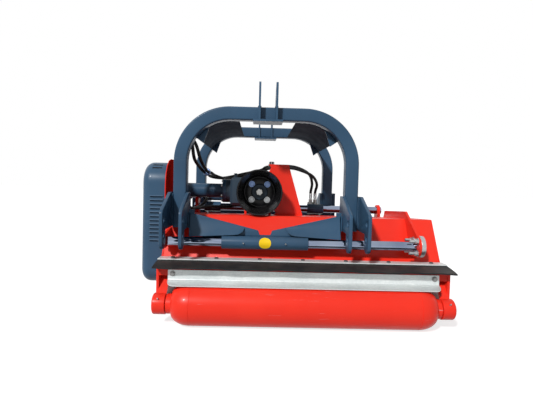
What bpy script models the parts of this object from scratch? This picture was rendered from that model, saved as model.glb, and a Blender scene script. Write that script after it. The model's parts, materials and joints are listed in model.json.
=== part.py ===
"""Reversible orchard flail mulcher with a hydraulic side shift.

The machine stands on its roller and its skids. The roller side faces -Y and +Z is up. All sizes are
metres. Positions along Y are written from the rotor's axis, and positions along X from the housing's
middle, until the layout section turns them into world places.
"""
import math

import bmesh
import bpy
from mathutils import Matrix, Vector

# Clearances
GAP = 0.0003
RUNNING_GAP = 0.0006

# Housing
CUT_WIDTH = 1.364
SIDE_THICKNESS = 0.008
HOOD_THICKNESS = 0.005
ROTOR_HEIGHT = 0.255
NEAR_FOOT_REACH = 0.305
NEAR_LIP_DEPTH = 0.085
NEAR_LIP_HEIGHT = 0.279
HOOD_TOP_FRONT = (-0.180, 0.490)
HOOD_TOP_REAR = (0.210, 0.470)
FAR_FOOT_REACH = 0.410
FAR_LIP_DROP = 0.060
FAR_LIP_HEIGHT = 0.300
HOOD_BEND_RADIUS = 0.012
SIDE_LOWER_FRONT_HEIGHT = 0.075
SIDE_TOE_LENGTH = 0.050
SHAFT_HOLE_CLEARANCE = 0.010

# Skids
SKID_WIDTH = 0.060
SKID_THICKNESS = 0.010
SKID_RISE = 0.036
SKID_TOE = 0.035
SKID_BEND_RUN = 0.018
SKID_WEB_HEIGHT = 0.045
SKID_WEB_THICKNESS = 0.008

# Rubber flap on the roller side
FLAP_THICKNESS = 0.006
FLAP_REACH = 0.175
FLAP_DROOP = 0.018
STRIP_WIDTH = 0.065
STRIP_THICKNESS = 0.005
STRIP_BOLT_PITCH = 0.208
STRIP_BOLT_RADIUS = 0.010
STRIP_BOLT_HEIGHT = 0.005

# Curtain on the intake side
CURTAIN_THICKNESS = 0.008
CURTAIN_CLEARANCE = 0.050
CURTAIN_SLIT_WIDTH = 0.004
CURTAIN_SLIT_COUNT = 8
CURTAIN_SLIT_HEIGHT = 0.150

# Ground roller, its arms and its scraper
ROLLER_RADIUS = 0.097
ROLLER_WALL = 0.006
ROLLER_BARREL = 1.034
ROLLER_DOME = 0.087
ROLLER_NECK_RADIUS = 0.045
ROLLER_NECK = 0.023
ROLLER_JOURNAL_RADIUS = 0.0175
ROLLER_JOURNAL = 0.045
ROLLER_VENT_RADIUS = 0.005
ROLLER_SETBACK = 0.445
ROLLER_HOUSING_RADIUS = 0.048
ROLLER_HOUSING_LENGTH = 0.0585
ROLLER_END_PLAY = 0.0035
ARM_THICKNESS = 0.012
ARM_FRONT_INSET = 0.015
ARM_REAR_REACH = 0.215
ARM_TOP_DROP = 0.017
ARM_REAR_DROP = 0.100
ARM_WEB_WIDTH = 0.040
ARM_WEB_THICKNESS = 0.008
ARM_WEB_RUN = 0.105
SCRAPER_THICKNESS = 0.004
SCRAPER_END_CLEARANCE = 0.041
SCRAPER_BEND_HEIGHT = 0.202
SCRAPER_FLANGE_REACH = 0.065
SCRAPER_FLANGE_DROP = 0.0125
SCRAPER_TOP_HEIGHT = 0.250
SCRAPER_CORNER = 0.034
SCRAPER_RAIL_HEIGHT = 0.040
SCRAPER_RAIL_THICKNESS = 0.008
SCRAPER_BOLT_RADIUS = 0.011
SCRAPER_BOLT_INSET = 0.015
SCRAPER_BOLT_HEIGHT = 0.233

# Near slide bar
BAR_RADIUS = 0.0225
NEAR_BAR_REACH = 0.340
NEAR_BAR_HEIGHT = 0.370
BRACKET_THICKNESS = 0.012
LEFT_BRACKET_INSET = 0.018
RIGHT_BRACKET_INSET = 0.132
BRACKET_LOBE_RADIUS = 0.055
LEFT_LOBE_RADIUS = 0.035
BRACKET_RIDGE_RISE = 0.040
BRACKET_RIDGE_LENGTH = 0.400
BAR_SPIGOT_RADIUS = 0.010
BAR_NUT_RADIUS = 0.016
BAR_NUT_LENGTH = 0.018
BAR_FLANGE_RADIUS = 0.0525
BAR_FLANGE_THICKNESS = 0.022
FLANGE_BOLT_CIRCLE = 0.040
FLANGE_BOLT_RADIUS = 0.008
BOLT_CLEARANCE = 0.001
FLANGE_BOLT_LENGTH = 0.042
FLANGE_NUT_RADIUS = 0.013
FLANGE_NUT_LENGTH = 0.014

# Far slide bar and the side-shift cylinder
FAR_BAR_REACH = 0.290
FAR_BAR_HEIGHT = 0.505
FAR_BLOCK_THICKNESS = 0.020
FAR_BLOCK_WIDTH = 0.070
FAR_LEFT_BLOCK_INSET = 0.075
FAR_RIGHT_BLOCK_INSET = 0.140
CYLINDER_RADIUS = 0.025
CYLINDER_BARREL_LENGTH = 0.300
CYLINDER_ROD_RADIUS = 0.0125
CYLINDER_RISE = 0.062
CYLINDER_EYE_RADIUS = 0.022
CYLINDER_EYE_WIDTH = 0.024
CYLINDER_PIN_RADIUS = 0.010
CYLINDER_WALL = 0.005
EYE_PLAY = 0.0015
ANCHOR_WALL = 0.010
PORT_INSET = 0.032
PORT_RADIUS = 0.012
PORT_LENGTH = 0.010

# Headstock
HEAD_SETBACK = 0.1025
HEAD_LEFT_INSET = 0.048
HOOP_SPREAD = 0.720
HOOP_TUBE = 0.065
HOOP_TUBE_WALL = 0.006
HOOP_HALF_WIDTH = 0.457
HOOP_TOP = 1.030
HOOP_CORNER_RADIUS = 0.275
HOOP_FOOT = 0.430
HOOP_STEPS = 6
BRIDGE_THICKNESS = 0.006
BRIDGE_START_ANGLE = math.radians(35)
BRIDGE_RUN = 0.040

# Hitch
HITCH_TOE_GAP = 0.025
HITCH_PLATE_THICKNESS = 0.015
HITCH_SINK = 0.0005
HITCH_PAD_THICKNESS = 0.008
HITCH_INSET = 0.0065
HITCH_TOP = 0.603
HITCH_KNEE = 0.520
HITCH_KNEE_RADIUS = 0.020
HITCH_SHELF = 0.432
HITCH_BOTTOM = 0.345
HITCH_TOE_DEPTH = 0.070
HITCH_HOLE_RADIUS = 0.0145
HITCH_HOLE_HEIGHTS = (0.410, 0.480)
TOP_LINK_SPACING = 0.083
TOP_LINK_THICKNESS = 0.010
TOP_LINK_TOP = 1.147
TOP_LINK_PIN_DROP = 0.037
TOP_LINK_PIN_RADIUS = 0.0125
TOP_LINK_OVERHANG = 0.045
TOP_LINK_FOOT_DROP = 0.010
TOP_LINK_BASE_WIDTH = 0.145
TOP_LINK_PIN_LENGTH = 0.155

# Near carriage: a sleeve on the bar with two tapered wings
SLEEVE_RADIUS = 0.0315
SLEEVE_LENGTH = 0.415
WING_THICKNESS = 0.010
WING_CENTRE_HEIGHT = 0.427
WING_END_HEIGHT = 0.508
WING_END_BOTTOM = 0.400
WING_HEEL_HEIGHT = 0.376
WING_NOTCH_WIDTH = 0.068
WING_NOTCH_DEPTH = 0.022
END_PLATE_THICKNESS = 0.012
FAR_SLIDER_LENGTH = 0.100
FAR_GUSSET_THICKNESS = 0.010
CROSS_TUBE = 0.045

# Gearbox, its tower and the drive
GEARBOX_OFFSET = -0.217
GEARBOX_LIFT = 0.042
GEARBOX_LEFT = 0.164
GEARBOX_RIGHT = 0.080
GEARBOX_TALL = 0.156
GEARBOX_FRONT = -0.035
GEARBOX_DEPTH = 0.170
GEARBOX_WALL = 0.010
GEARBOX_EDGE = 0.014
CROSS_SHAFT_SETBACK = 0.070
CROSS_SHAFT_RADIUS = 0.0175
FRONT_BOSS_RADIUS = 0.045
FRONT_BOSS_LENGTH = 0.022
OUTPUT_TUBE_RADIUS = 0.040
OUTPUT_TUBE_WALL = 0.005
OUTPUT_FLANGE_RADIUS = 0.0675
CASE_FLANGE_THICKNESS = 0.026
OUTPUT_FLANGE_THICKNESS = 0.020
SIDE_COVER_RADIUS = 0.060
SIDE_COVER_THICKNESS = 0.016
BREATHER_RADIUS = 0.009
BREATHER_HEIGHT = 0.022
INPUT_SHAFT_RADIUS = 0.0175
INPUT_SHAFT_REACH = 0.095
CROWN_RADIUS = 0.060
PINION_RADIUS = 0.026
GEAR_FACE = 0.020
TOWER_THICKNESS = 0.008
TOWER_STANDOFF = 0.005
TOWER_TAB = 0.050
TOWER_RISE = 0.154
TOWER_TOP_LEFT = 0.048
TOWER_TOP_RIGHT = 0.158
TOWER_FOOT_RIGHT = 0.242
TOWER_ARC_RADIUS = 0.150
PEDESTAL_WALL = 0.012

# Cup round the input shaft
CUP_RIM_RADIUS = 0.116
CUP_BASE_RADIUS = 0.098
CUP_DEPTH = 0.165
CUP_WALL = 0.004
CUP_RIB_DEPTH = 0.003
CUP_RIB_COUNT = 3
CUP_RIM_BEAD = 0.003
CUP_BOLT_SPACING = 0.085
CUP_BOLT_RADIUS = 0.014
CUP_BOLT_HEIGHT = 0.012
CUP_RING_THICKNESS = 0.003
CUP_RING_RADIUS = 0.080

# Belt drive
BELT_PLATE_THICKNESS = 0.005
GUARD_DEPTH = 0.127
GUARD_WALL = 0.003
GUARD_NEAR = -0.210
GUARD_FAR = 0.270
GUARD_BOTTOM = 0.127
GUARD_TOP = 0.754
GUARD_TOP_RADIUS = 0.110
GUARD_BOTTOM_RADIUS = 0.080
GUARD_EDGE_RADIUS = 0.045
GUARD_EDGE_STEPS = 3
BELT_PLATE_MARGIN = 0.020
LOUVRE_COUNT = 12
LOUVRE_PITCH = 0.0205
LOUVRE_HEIGHT = 0.008
LOUVRE_WIDTH = 0.062
LOUVRE_TOP = 0.580
LOUVRE_INSET = 0.005
ROTOR_PULLEY_RADIUS = 0.090
GEARBOX_PULLEY_RADIUS = 0.112
PULLEY_WIDTH = 0.070
PULLEY_INSET = 0.036
PULLEY_GROOVES = 2
PULLEY_GROOVE_DEPTH = 0.008
BELT_THICKNESS = 0.010
BELT_WIDTH = 0.064

# Rotor and flails
ROTOR_TUBE_RADIUS = 0.057
ROTOR_TUBE_WALL = 0.008
ROTOR_END_CLEARANCE = 0.014
STUB_RADIUS = 0.025
STUB_BORE_RADIUS = 0.006
BEARING_RADIUS = 0.055
BEARING_REACH = 0.032
FLAIL_COUNT = 8
FLAIL_PIVOT_RADIUS = 0.115
FLAIL_LENGTH = 0.085
FLAIL_NECK_LENGTH = 0.050
FLAIL_EYE_RADIUS = 0.018
FLAIL_EYE_WIDTH = 0.034
FLAIL_TIP_WIDTH = 0.090
FLAIL_THICKNESS = 0.014
FLAIL_END_INSET = 0.075
FLAIL_PIN_RADIUS = 0.009
FLAIL_PLAY = 0.0015
LUG_THICKNESS = 0.008
LUG_RADIUS = 0.022
COUNTER_BLADE_WIDTH = 0.040
COUNTER_BLADE_THICKNESS = 0.014
COUNTER_BLADE_HEIGHT = 0.352

# Hoses
HOSE_RADIUS = 0.009
HOSE_END_GAP = 0.002
COUPLING_RADIUS = 0.014
COUPLING_LENGTH = 0.090
COUPLING_TOP = 0.562
COUPLING_SINK = 0.0015
COUPLING_PITCH = 0.030
RACK_THICKNESS = 0.008
RACK_HEIGHT = 0.110
RACK_MARGIN = 0.017
RACK_END_GAP = 0.0014

# Layout along X, from the middle of the whole machine's width
TOTAL_WIDTH = GUARD_DEPTH + BELT_PLATE_THICKNESS + 3 * GAP + CUT_WIDTH + 2 * SIDE_THICKNESS + BEARING_REACH
LEFT_FACE = -TOTAL_WIDTH / 2 + GUARD_DEPTH + BELT_PLATE_THICKNESS + 2 * GAP
RIGHT_FACE = LEFT_FACE + CUT_WIDTH + 2 * SIDE_THICKNESS
LEFT_INSIDE = LEFT_FACE + SIDE_THICKNESS
RIGHT_INSIDE = RIGHT_FACE - SIDE_THICKNESS
HOUSING_X = (LEFT_FACE + RIGHT_FACE) / 2
BELT_PLATE_X = LEFT_FACE - GAP - BELT_PLATE_THICKNESS / 2
GUARD_BACK_X = LEFT_FACE - 2 * GAP - BELT_PLATE_THICKNESS
GUARD_FACE_X = GUARD_BACK_X - GUARD_DEPTH
HEAD_X = LEFT_FACE + HEAD_LEFT_INSET + HOOP_HALF_WIDTH
GEARBOX_X = HOUSING_X + GEARBOX_OFFSET
PULLEY_X = GUARD_BACK_X - PULLEY_INSET - PULLEY_WIDTH / 2

# Layout along Y, from the middle of the whole machine's depth
HITCH_REACH = HEAD_SETBACK + NEAR_BAR_REACH + LEFT_LOBE_RADIUS + HITCH_TOE_GAP + HITCH_TOE_DEPTH
ROTOR_Y = (ROLLER_SETBACK + ROLLER_RADIUS - HEAD_SETBACK - HITCH_REACH) / 2
ROLLER_Y = ROTOR_Y - ROLLER_SETBACK
HEAD_Y = ROTOR_Y + HEAD_SETBACK
NEAR_BAR_Y = ROTOR_Y - NEAR_BAR_REACH
FAR_BAR_Y = ROTOR_Y + FAR_BAR_REACH
SHAFT_Y = ROTOR_Y + CROSS_SHAFT_SETBACK
CYLINDER_HEIGHT = FAR_BAR_HEIGHT + CYLINDER_RISE
ARM_FRONT_REACH = ROLLER_SETBACK - ARM_FRONT_INSET
ARM_TOP_HEIGHT = NEAR_LIP_HEIGHT - ARM_TOP_DROP
GEARBOX_HEIGHT = HOOD_TOP_FRONT[1] + GEARBOX_LIFT + GEARBOX_TALL / 2
TOWER_TOP = GEARBOX_HEIGHT + TOWER_RISE
TOP_LINK_PIN_HEIGHT = TOP_LINK_TOP - TOP_LINK_PIN_DROP
HEAD_ROOM = HOOP_HALF_WIDTH - HOOP_TUBE - HITCH_PLATE_THICKNESS - 2 * GAP
COUPLING_B_X = HEAD_ROOM - 1.7 * FAR_GUSSET_THICKNESS - RACK_END_GAP - RACK_MARGIN
COUPLING_A_X = COUPLING_B_X - COUPLING_PITCH
HOOP_INNER_RADIUS = HOOP_CORNER_RADIUS - HOOP_TUBE

COLLECTION = "orchard_mulcher"
CUTTERS = "cutters"

RED = ("red_paint", (0.80, 0.036, 0.018), 0.32, 0.0)
SLATE = ("slate_paint", (0.040, 0.095, 0.165), 0.38, 0.0)
GALVANISED = ("galvanised_steel", (0.62, 0.66, 0.64), 0.45, 0.85)
CHROME = ("chromed_steel", (0.78, 0.80, 0.84), 0.12, 1.0)
STEEL = ("bare_steel", (0.42, 0.42, 0.43), 0.40, 0.9)
BLACK_RUBBER = ("black_rubber", (0.022, 0.022, 0.022), 0.75, 0.0)
BLACK_PLASTIC = ("black_plastic", (0.012, 0.012, 0.013), 0.35, 0.0)
CAST_IRON = ("cast_iron", (0.10, 0.10, 0.11), 0.6, 0.6)

AXIS_TURNS = {
    "X": Matrix.Rotation(math.pi / 2, 4, "Y"),
    "Y": Matrix.Rotation(-math.pi / 2, 4, "X"),
    "Z": Matrix.Identity(4),
}
FACING = {
    "X": Matrix(((0, 0, 1, 0), (1, 0, 0, 0), (0, 1, 0, 0), (0, 0, 0, 1))),
    "Y": Matrix(((1, 0, 0, 0), (0, 0, -1, 0), (0, 1, 0, 0), (0, 0, 0, 1))),
    "Z": Matrix.Identity(4),
}


def clear_scene():
    """Remove the objects that are in the scene."""
    for item in list(bpy.data.objects):
        bpy.data.objects.remove(item, do_unlink=True)


def collection(name):
    """Return the named collection, linked to the scene."""
    group = bpy.data.collections.get(name)
    if group is None:
        group = bpy.data.collections.new(name)
        bpy.context.scene.collection.children.link(group)
    return group


def material(finish):
    """Return the material of a finish: name, colour, roughness, metallic."""
    name, colour, roughness, metallic = finish
    found = bpy.data.materials.get(name)
    if found is None:
        found = bpy.data.materials.new(name)
        found.use_nodes = True
        shader = found.node_tree.nodes["Principled BSDF"]
        shader.inputs["Base Color"].default_value = (*colour, 1.0)
        shader.inputs["Roughness"].default_value = roughness
        shader.inputs["Metallic"].default_value = metallic
        found.diffuse_color = (*colour, 1.0)
    return found


def add(name, data, place=None, finish=None):
    """Add an object to the scene; without a finish it is a cutter or another helper."""
    item = bpy.data.objects.new(name, data)
    item.matrix_world = place if place is not None else Matrix.Identity(4)
    if finish is None:
        collection(CUTTERS).objects.link(item)
        item.hide_render = True
        item.display_type = "WIRE"
    else:
        collection(COLLECTION).objects.link(item)
        data.materials.append(material(finish))
    return item


def to_mesh(item):
    """Turn a curve object into a mesh object with welded caps, in the same place."""
    bpy.context.view_layer.update()
    graph = bpy.context.evaluated_depsgraph_get()
    mesh = bpy.data.meshes.new_from_object(item.evaluated_get(graph))
    work = bmesh.new()
    work.from_mesh(mesh)
    bmesh.ops.remove_doubles(work, verts=work.verts, dist=1e-6)
    bmesh.ops.recalc_face_normals(work, faces=work.faces)
    work.to_mesh(mesh)
    work.free()
    name = item.name
    groups = list(item.users_collection)
    solid = bpy.data.objects.new(name + "_mesh", mesh)
    solid.matrix_world = item.matrix_world
    solid.hide_render = item.hide_render
    solid.display_type = item.display_type
    for group in groups:
        group.objects.link(solid)
    bpy.data.objects.remove(item, do_unlink=True)
    solid.name = name
    mesh.name = name
    return solid


def box(name, x, y, z, finish=None):
    """A block between three pairs of faces, given as (low, high)."""
    mesh = bpy.data.meshes.new(name)
    work = bmesh.new()
    bmesh.ops.create_cube(work, size=1.0)
    size = Vector((x[1] - x[0], y[1] - y[0], z[1] - z[0]))
    bmesh.ops.scale(work, vec=size, verts=work.verts)
    work.to_mesh(mesh)
    work.free()
    centre = Vector(((x[0] + x[1]) / 2, (y[0] + y[1]) / 2, (z[0] + z[1]) / 2))
    return add(name, mesh, Matrix.Translation(centre), finish)


def turned(name, axis, centre, profile, finish=None, sides=24, ring=False):
    """A turned piece: profile points are (along, radius), from low to high along the axis.

    A ring profile closes on itself, with its inner side last, and leaves a bore.
    """
    points = list(reversed(profile))
    mesh = bpy.data.meshes.new(name)
    verts = [(radius, 0.0, along) for along, radius in points]
    edges = [(i, i + 1) for i in range(len(verts) - 1)]
    if ring:
        edges.append((len(verts) - 1, 0))
    mesh.from_pydata(verts, edges, [])
    item = add(name, mesh, Matrix.Translation(Vector(centre)) @ AXIS_TURNS[axis], finish)
    screw = item.modifiers.new("Turn", "SCREW")
    screw.axis = "Z"
    screw.angle = 2 * math.pi
    screw.steps = sides
    screw.render_steps = sides
    screw.use_merge_vertices = True
    screw.merge_threshold = 1e-5
    return item


def rod(name, axis, centre, low, high, radius, finish=None, sides=24):
    """A round bar between two places along its axis."""
    profile = [(low, 0.0), (low, radius), (high, radius), (high, 0.0)]
    return turned(name, axis, centre, profile, finish, sides)


def clearing(radius, sides):
    """The corner radius of a many-sided bore whose flats stand at the given radius."""
    return radius / math.cos(math.pi / sides)


def tube(name, axis, centre, low, high, outer, inner, finish=None, sides=24):
    """A round tube between two places along its axis, whose bore clears the inner radius."""
    bore = clearing(inner, sides)
    profile = [(low, bore), (low, outer), (high, outer), (high, bore)]
    return turned(name, axis, centre, profile, finish, sides, ring=True)


def arc(centre, radius, start, end, steps):
    """Points on an arc, from one angle to another, in radians."""
    points = []
    for i in range(steps + 1):
        angle = start + (end - start) * i / steps
        points.append((centre[0] + radius * math.cos(angle), centre[1] + radius * math.sin(angle)))
    return points


def rounded(corners, steps=3):
    """An outline with rounded corners, from (x, y, radius) at each corner."""
    outline = []
    count = len(corners)
    for i in range(count):
        here = Vector(corners[i][:2])
        radius = corners[i][2] if len(corners[i]) > 2 else 0.0
        if radius <= 0.0:
            outline.append(tuple(here))
            continue
        before = (Vector(corners[i - 1][:2]) - here).normalized()
        after = (Vector(corners[(i + 1) % count][:2]) - here).normalized()
        outline += corner_arc(here, before, after, radius, steps)
    return outline


def corner_arc(here, before, after, radius, steps):
    """The arc that rounds one corner, between its two sides' directions."""
    half = before.angle(after) / 2
    run = radius / math.tan(half)
    middle = here + (before + after).normalized() * radius / math.sin(half)
    start = here + before * run - middle
    end = here + after * run - middle
    sweep = start.angle_signed(end)
    first = math.atan2(start.y, start.x)
    return arc(middle, radius, first, first - sweep, steps)


def bent_line(corners, steps=3):
    """An open line with rounded bends, from (x, y, radius) at each bend."""
    line = [tuple(corners[0][:2])]
    for i in range(1, len(corners) - 1):
        here = Vector(corners[i][:2])
        radius = corners[i][2] if len(corners[i]) > 2 else 0.0
        if radius <= 0.0:
            line.append(tuple(here))
            continue
        before = (Vector(corners[i - 1][:2]) - here).normalized()
        after = (Vector(corners[i + 1][:2]) - here).normalized()
        line += corner_arc(here, before, after, radius, steps)
    line.append(tuple(corners[-1][:2]))
    return line


def plate(name, facing, at, outline, thickness, finish=None, holes=(), place=None):
    """A flat plate of one outline, with its holes, whose middle plane lies at one place."""
    curve = bpy.data.curves.new(name, "CURVE")
    curve.dimensions = "2D"
    curve.fill_mode = "BOTH"
    curve.extrude = thickness / 2
    curve.render_resolution_u = 0
    for loop in (outline, *holes):
        spline = curve.splines.new("POLY")
        spline.points.add(len(loop) - 1)
        for point, (x, y) in zip(spline.points, loop):
            point.co = (x, y, 0.0, 1.0)
        spline.use_cyclic_u = True
    if place is None:
        axis = "XYZ".index(facing)
        shift = Vector((0.0, 0.0, 0.0))
        shift[axis] = at
        place = Matrix.Translation(shift) @ FACING[facing]
    return to_mesh(add(name, curve, place, finish))


def lofted(name, rings, finish=None):
    """A closed solid through rings of points, with the same number of points in each ring."""
    mesh = bpy.data.meshes.new(name)
    work = bmesh.new()
    loops = [[work.verts.new(point) for point in ring] for ring in rings]
    count = len(loops[0])
    for low, high in zip(loops, loops[1:]):
        for i in range(count):
            after = (i + 1) % count
            work.faces.new((low[i], low[after], high[after], high[i]))
    work.faces.new(loops[0])
    work.faces.new(loops[-1])
    bmesh.ops.recalc_face_normals(work, faces=work.faces)
    work.to_mesh(mesh)
    work.free()
    return add(name, mesh, None, finish)


def circle(centre, radius, sides=16):
    """A round hole's outline, whose flats stand at the radius."""
    return arc(centre, clearing(radius, sides), 0.0, 2 * math.pi * (sides - 1) / sides, sides - 1)


def bent_sheet(name, line, span, thickness, finish=None, side=-1.0):
    """A bent sheet: an open line in the YZ plane, drawn along X and thickened to one side."""
    mesh = bpy.data.meshes.new(name)
    work = bmesh.new()
    first = [work.verts.new((span[0], y, z)) for y, z in line]
    edges = [work.edges.new((a, b)) for a, b in zip(first, first[1:])]
    drawn = bmesh.ops.extrude_edge_only(work, edges=edges)["geom"]
    moved = [part for part in drawn if isinstance(part, bmesh.types.BMVert)]
    bmesh.ops.translate(work, vec=(span[1] - span[0], 0.0, 0.0), verts=moved)
    bmesh.ops.recalc_face_normals(work, faces=work.faces)
    for face in work.faces:
        face.normal_update()
    lead = work.faces[:][0] if work.faces else None
    if lead is not None and lead.normal.z + lead.normal.y * 0.01 < 0.0:
        bmesh.ops.reverse_faces(work, faces=work.faces)
    work.to_mesh(mesh)
    work.free()
    item = add(name, mesh, None, finish)
    thick = item.modifiers.new("Thickness", "SOLIDIFY")
    thick.thickness = thickness
    thick.offset = side
    thick.use_even_offset = True
    return item


def route(points, spacing):
    """Points along a smooth curve through the given ones, at most about a spacing apart."""
    knots = [Vector(point) for point in points]
    knots = [2 * knots[0] - knots[1]] + knots + [2 * knots[-1] - knots[-2]]
    result = []
    for a, b, c, d in zip(knots, knots[1:], knots[2:], knots[3:]):
        steps = max(1, round((c - b).length / spacing))
        for i in range(steps):
            t = i / steps
            result.append(0.5 * (2 * b + (c - a) * t + (2 * a - 5 * b + 4 * c - d) * t * t
                                 + (3 * b - a - 3 * c + d) * t ** 3))
    result.append(knots[-2])
    return result


def hose(name, points, radius, finish):
    """A round hose along a smooth route, as one closed tube."""
    curve = bpy.data.curves.new(name, "CURVE")
    curve.dimensions = "3D"
    curve.bevel_depth = radius
    curve.bevel_resolution = 1
    curve.use_fill_caps = True
    curve.render_resolution_u = 0
    line = route(points, radius * 7)
    spline = curve.splines.new("POLY")
    spline.points.add(len(line) - 1)
    for point, place in zip(spline.points, line):
        point.co = (*place, 1.0)
    return to_mesh(add(name, curve, None, finish))


def boolean(target, other, operation):
    """Join or cut the target with another solid, which becomes a helper."""
    modifier = target.modifiers.new(other.name, "BOOLEAN")
    modifier.operation = operation
    modifier.solver = "EXACT"
    modifier.object = other
    return target


def join(target, *others):
    """Unite other solids with the target."""
    for other in others:
        boolean(target, other, "UNION")
    return target


def cut(target, *others):
    """Take other solids away from the target."""
    for other in others:
        boolean(target, other, "DIFFERENCE")
    return target


def soften(item, width, segments=2, angle=math.radians(40)):
    """Round the edges that are sharper than an angle."""
    bevel = item.modifiers.new("Soften", "BEVEL")
    bevel.width = width
    bevel.segments = segments
    bevel.limit_method = "ANGLE"
    bevel.angle_limit = angle
    return item


def pivot(name, place, parent=None):
    """An empty on a moving body's joint axis."""
    empty = bpy.data.objects.new(name, None)
    empty.matrix_world = Matrix.Translation(Vector(place))
    collection(COLLECTION).objects.link(empty)
    if parent is not None:
        hang(empty, parent)
    return empty


def hang(item, parent):
    """Parent an object to an empty, and leave it where it is."""
    bpy.context.view_layer.update()
    item.parent = parent
    item.matrix_parent_inverse = parent.matrix_world.inverted()
    return item


def at_rotor(y):
    """A world place along Y, from its distance behind the rotor's axis."""
    return ROTOR_Y + y


def near_panel_y(height):
    """Where the hood's near panel stands at a height."""
    share = (height - NEAR_LIP_HEIGHT) / (HOOD_TOP_FRONT[1] - NEAR_LIP_HEIGHT)
    return at_rotor(-NEAR_FOOT_REACH + share * (NEAR_FOOT_REACH + HOOD_TOP_FRONT[0]))


def deck_height(y):
    """The height of the hood's top panel at a world place along Y."""
    share = (y - at_rotor(HOOD_TOP_FRONT[0])) / (HOOD_TOP_REAR[0] - HOOD_TOP_FRONT[0])
    return HOOD_TOP_FRONT[1] + share * (HOOD_TOP_REAR[1] - HOOD_TOP_FRONT[1])


def far_panel_height(y):
    """The height of the hood's far panel at a world place along Y."""
    share = (y - at_rotor(HOOD_TOP_REAR[0])) / (FAR_FOOT_REACH - HOOD_TOP_REAR[0])
    return HOOD_TOP_REAR[1] + share * (FAR_LIP_HEIGHT - HOOD_TOP_REAR[1])


def hood_corners():
    """The hood's outer corners in the YZ plane, from the near foot to the far foot."""
    return [
        (at_rotor(-NEAR_FOOT_REACH), NEAR_LIP_HEIGHT),
        (at_rotor(HOOD_TOP_FRONT[0]), HOOD_TOP_FRONT[1], HOOD_BEND_RADIUS),
        (at_rotor(HOOD_TOP_REAR[0]), HOOD_TOP_REAR[1], HOOD_BEND_RADIUS),
        (at_rotor(FAR_FOOT_REACH), FAR_LIP_HEIGHT, HOOD_BEND_RADIUS),
    ]


def merged(name, items):
    """One helper mesh from several helper solids that don't overlap."""
    bpy.context.view_layer.update()
    graph = bpy.context.evaluated_depsgraph_get()
    work = bmesh.new()
    for item in items:
        mesh = bpy.data.meshes.new_from_object(item.evaluated_get(graph))
        mesh.transform(item.matrix_world)
        work.from_mesh(mesh)
        bpy.data.meshes.remove(mesh)
    mesh = bpy.data.meshes.new(name)
    work.to_mesh(mesh)
    work.free()
    for item in items:
        bpy.data.objects.remove(item, do_unlink=True)
    return add(name, mesh)


def outward(profile, sign):
    """A turned profile that runs out from the middle, to the right or to the left."""
    if sign > 0:
        return profile
    return [(-along, radius) for along, radius in reversed(profile)]


def hood_shell():
    """The bent hood, from the flap's lip over the rotor to the curtain's lip."""
    corners = hood_corners()
    near_lip = (at_rotor(-NEAR_FOOT_REACH - NEAR_LIP_DEPTH), NEAR_LIP_HEIGHT)
    far_lip = (at_rotor(FAR_FOOT_REACH), FAR_LIP_HEIGHT - FAR_LIP_DROP)
    line = bent_line([near_lip, *corners, far_lip])
    return bent_sheet("hood_shell", line, (LEFT_INSIDE + GAP, RIGHT_INSIDE - GAP), HOOD_THICKNESS, RED)


def side_plate(name, x):
    """An end plate: the hood's outline closed down to the skid, with the rotor shaft's hole."""
    bottom = SKID_THICKNESS + GAP
    front = at_rotor(-NEAR_FOOT_REACH)
    rear = at_rotor(FAR_FOOT_REACH)
    outline = rounded([
        *hood_corners()[:3],
        (rear, FAR_LIP_HEIGHT, HOOD_BEND_RADIUS),
        (rear, bottom + SIDE_TOE_LENGTH),
        (rear - SIDE_TOE_LENGTH - SKID_BEND_RUN, bottom),
        (front + SIDE_TOE_LENGTH + SKID_BEND_RUN, bottom),
        (front, SIDE_LOWER_FRONT_HEIGHT),
    ])
    hole = circle((ROTOR_Y, ROTOR_HEIGHT), STUB_RADIUS + SHAFT_HOLE_CLEARANCE)
    return plate(name, "X", x, outline, SIDE_THICKNESS, RED, [hole])


def skid(name, sign):
    """A bent sole under an end plate, with a web against the plate's inner face."""
    edge = LEFT_FACE if sign < 0 else RIGHT_FACE
    inside = LEFT_INSIDE + GAP if sign < 0 else RIGHT_INSIDE - GAP
    front = at_rotor(-NEAR_FOOT_REACH) + SIDE_TOE_LENGTH
    rear = at_rotor(FAR_FOOT_REACH) - SIDE_TOE_LENGTH
    line = bent_line([
        (front - SKID_TOE, SKID_RISE),
        (front, 0.0, SKID_TOE),
        (rear, 0.0, SKID_TOE),
        (rear + SKID_TOE, SKID_RISE),
    ])
    across = sorted((edge, edge - sign * SKID_WIDTH))
    sole = bent_sheet(name, line, across, SKID_THICKNESS, RED, side=1.0)
    web_x = sorted((inside, inside - sign * SKID_WEB_THICKNESS))
    web = box(name + "_web", web_x, (front + SKID_TOE, rear - SKID_TOE),
              (SKID_THICKNESS / 2, SKID_WEB_HEIGHT))
    return join(sole, web)


def counter_blade():
    """The shredding bar inside the near panel."""
    low = COUNTER_BLADE_HEIGHT - COUNTER_BLADE_THICKNESS / 2
    high = low + COUNTER_BLADE_THICKNESS
    slope = math.hypot(1.0, (NEAR_FOOT_REACH + HOOD_TOP_FRONT[0]) / (HOOD_TOP_FRONT[1] - NEAR_LIP_HEIGHT))
    near = near_panel_y(high) + (HOOD_THICKNESS + GAP) * slope
    return box("counter_blade", (LEFT_INSIDE + GAP, RIGHT_INSIDE - GAP),
               (near, near + COUNTER_BLADE_WIDTH), (low, high), RED)


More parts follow.
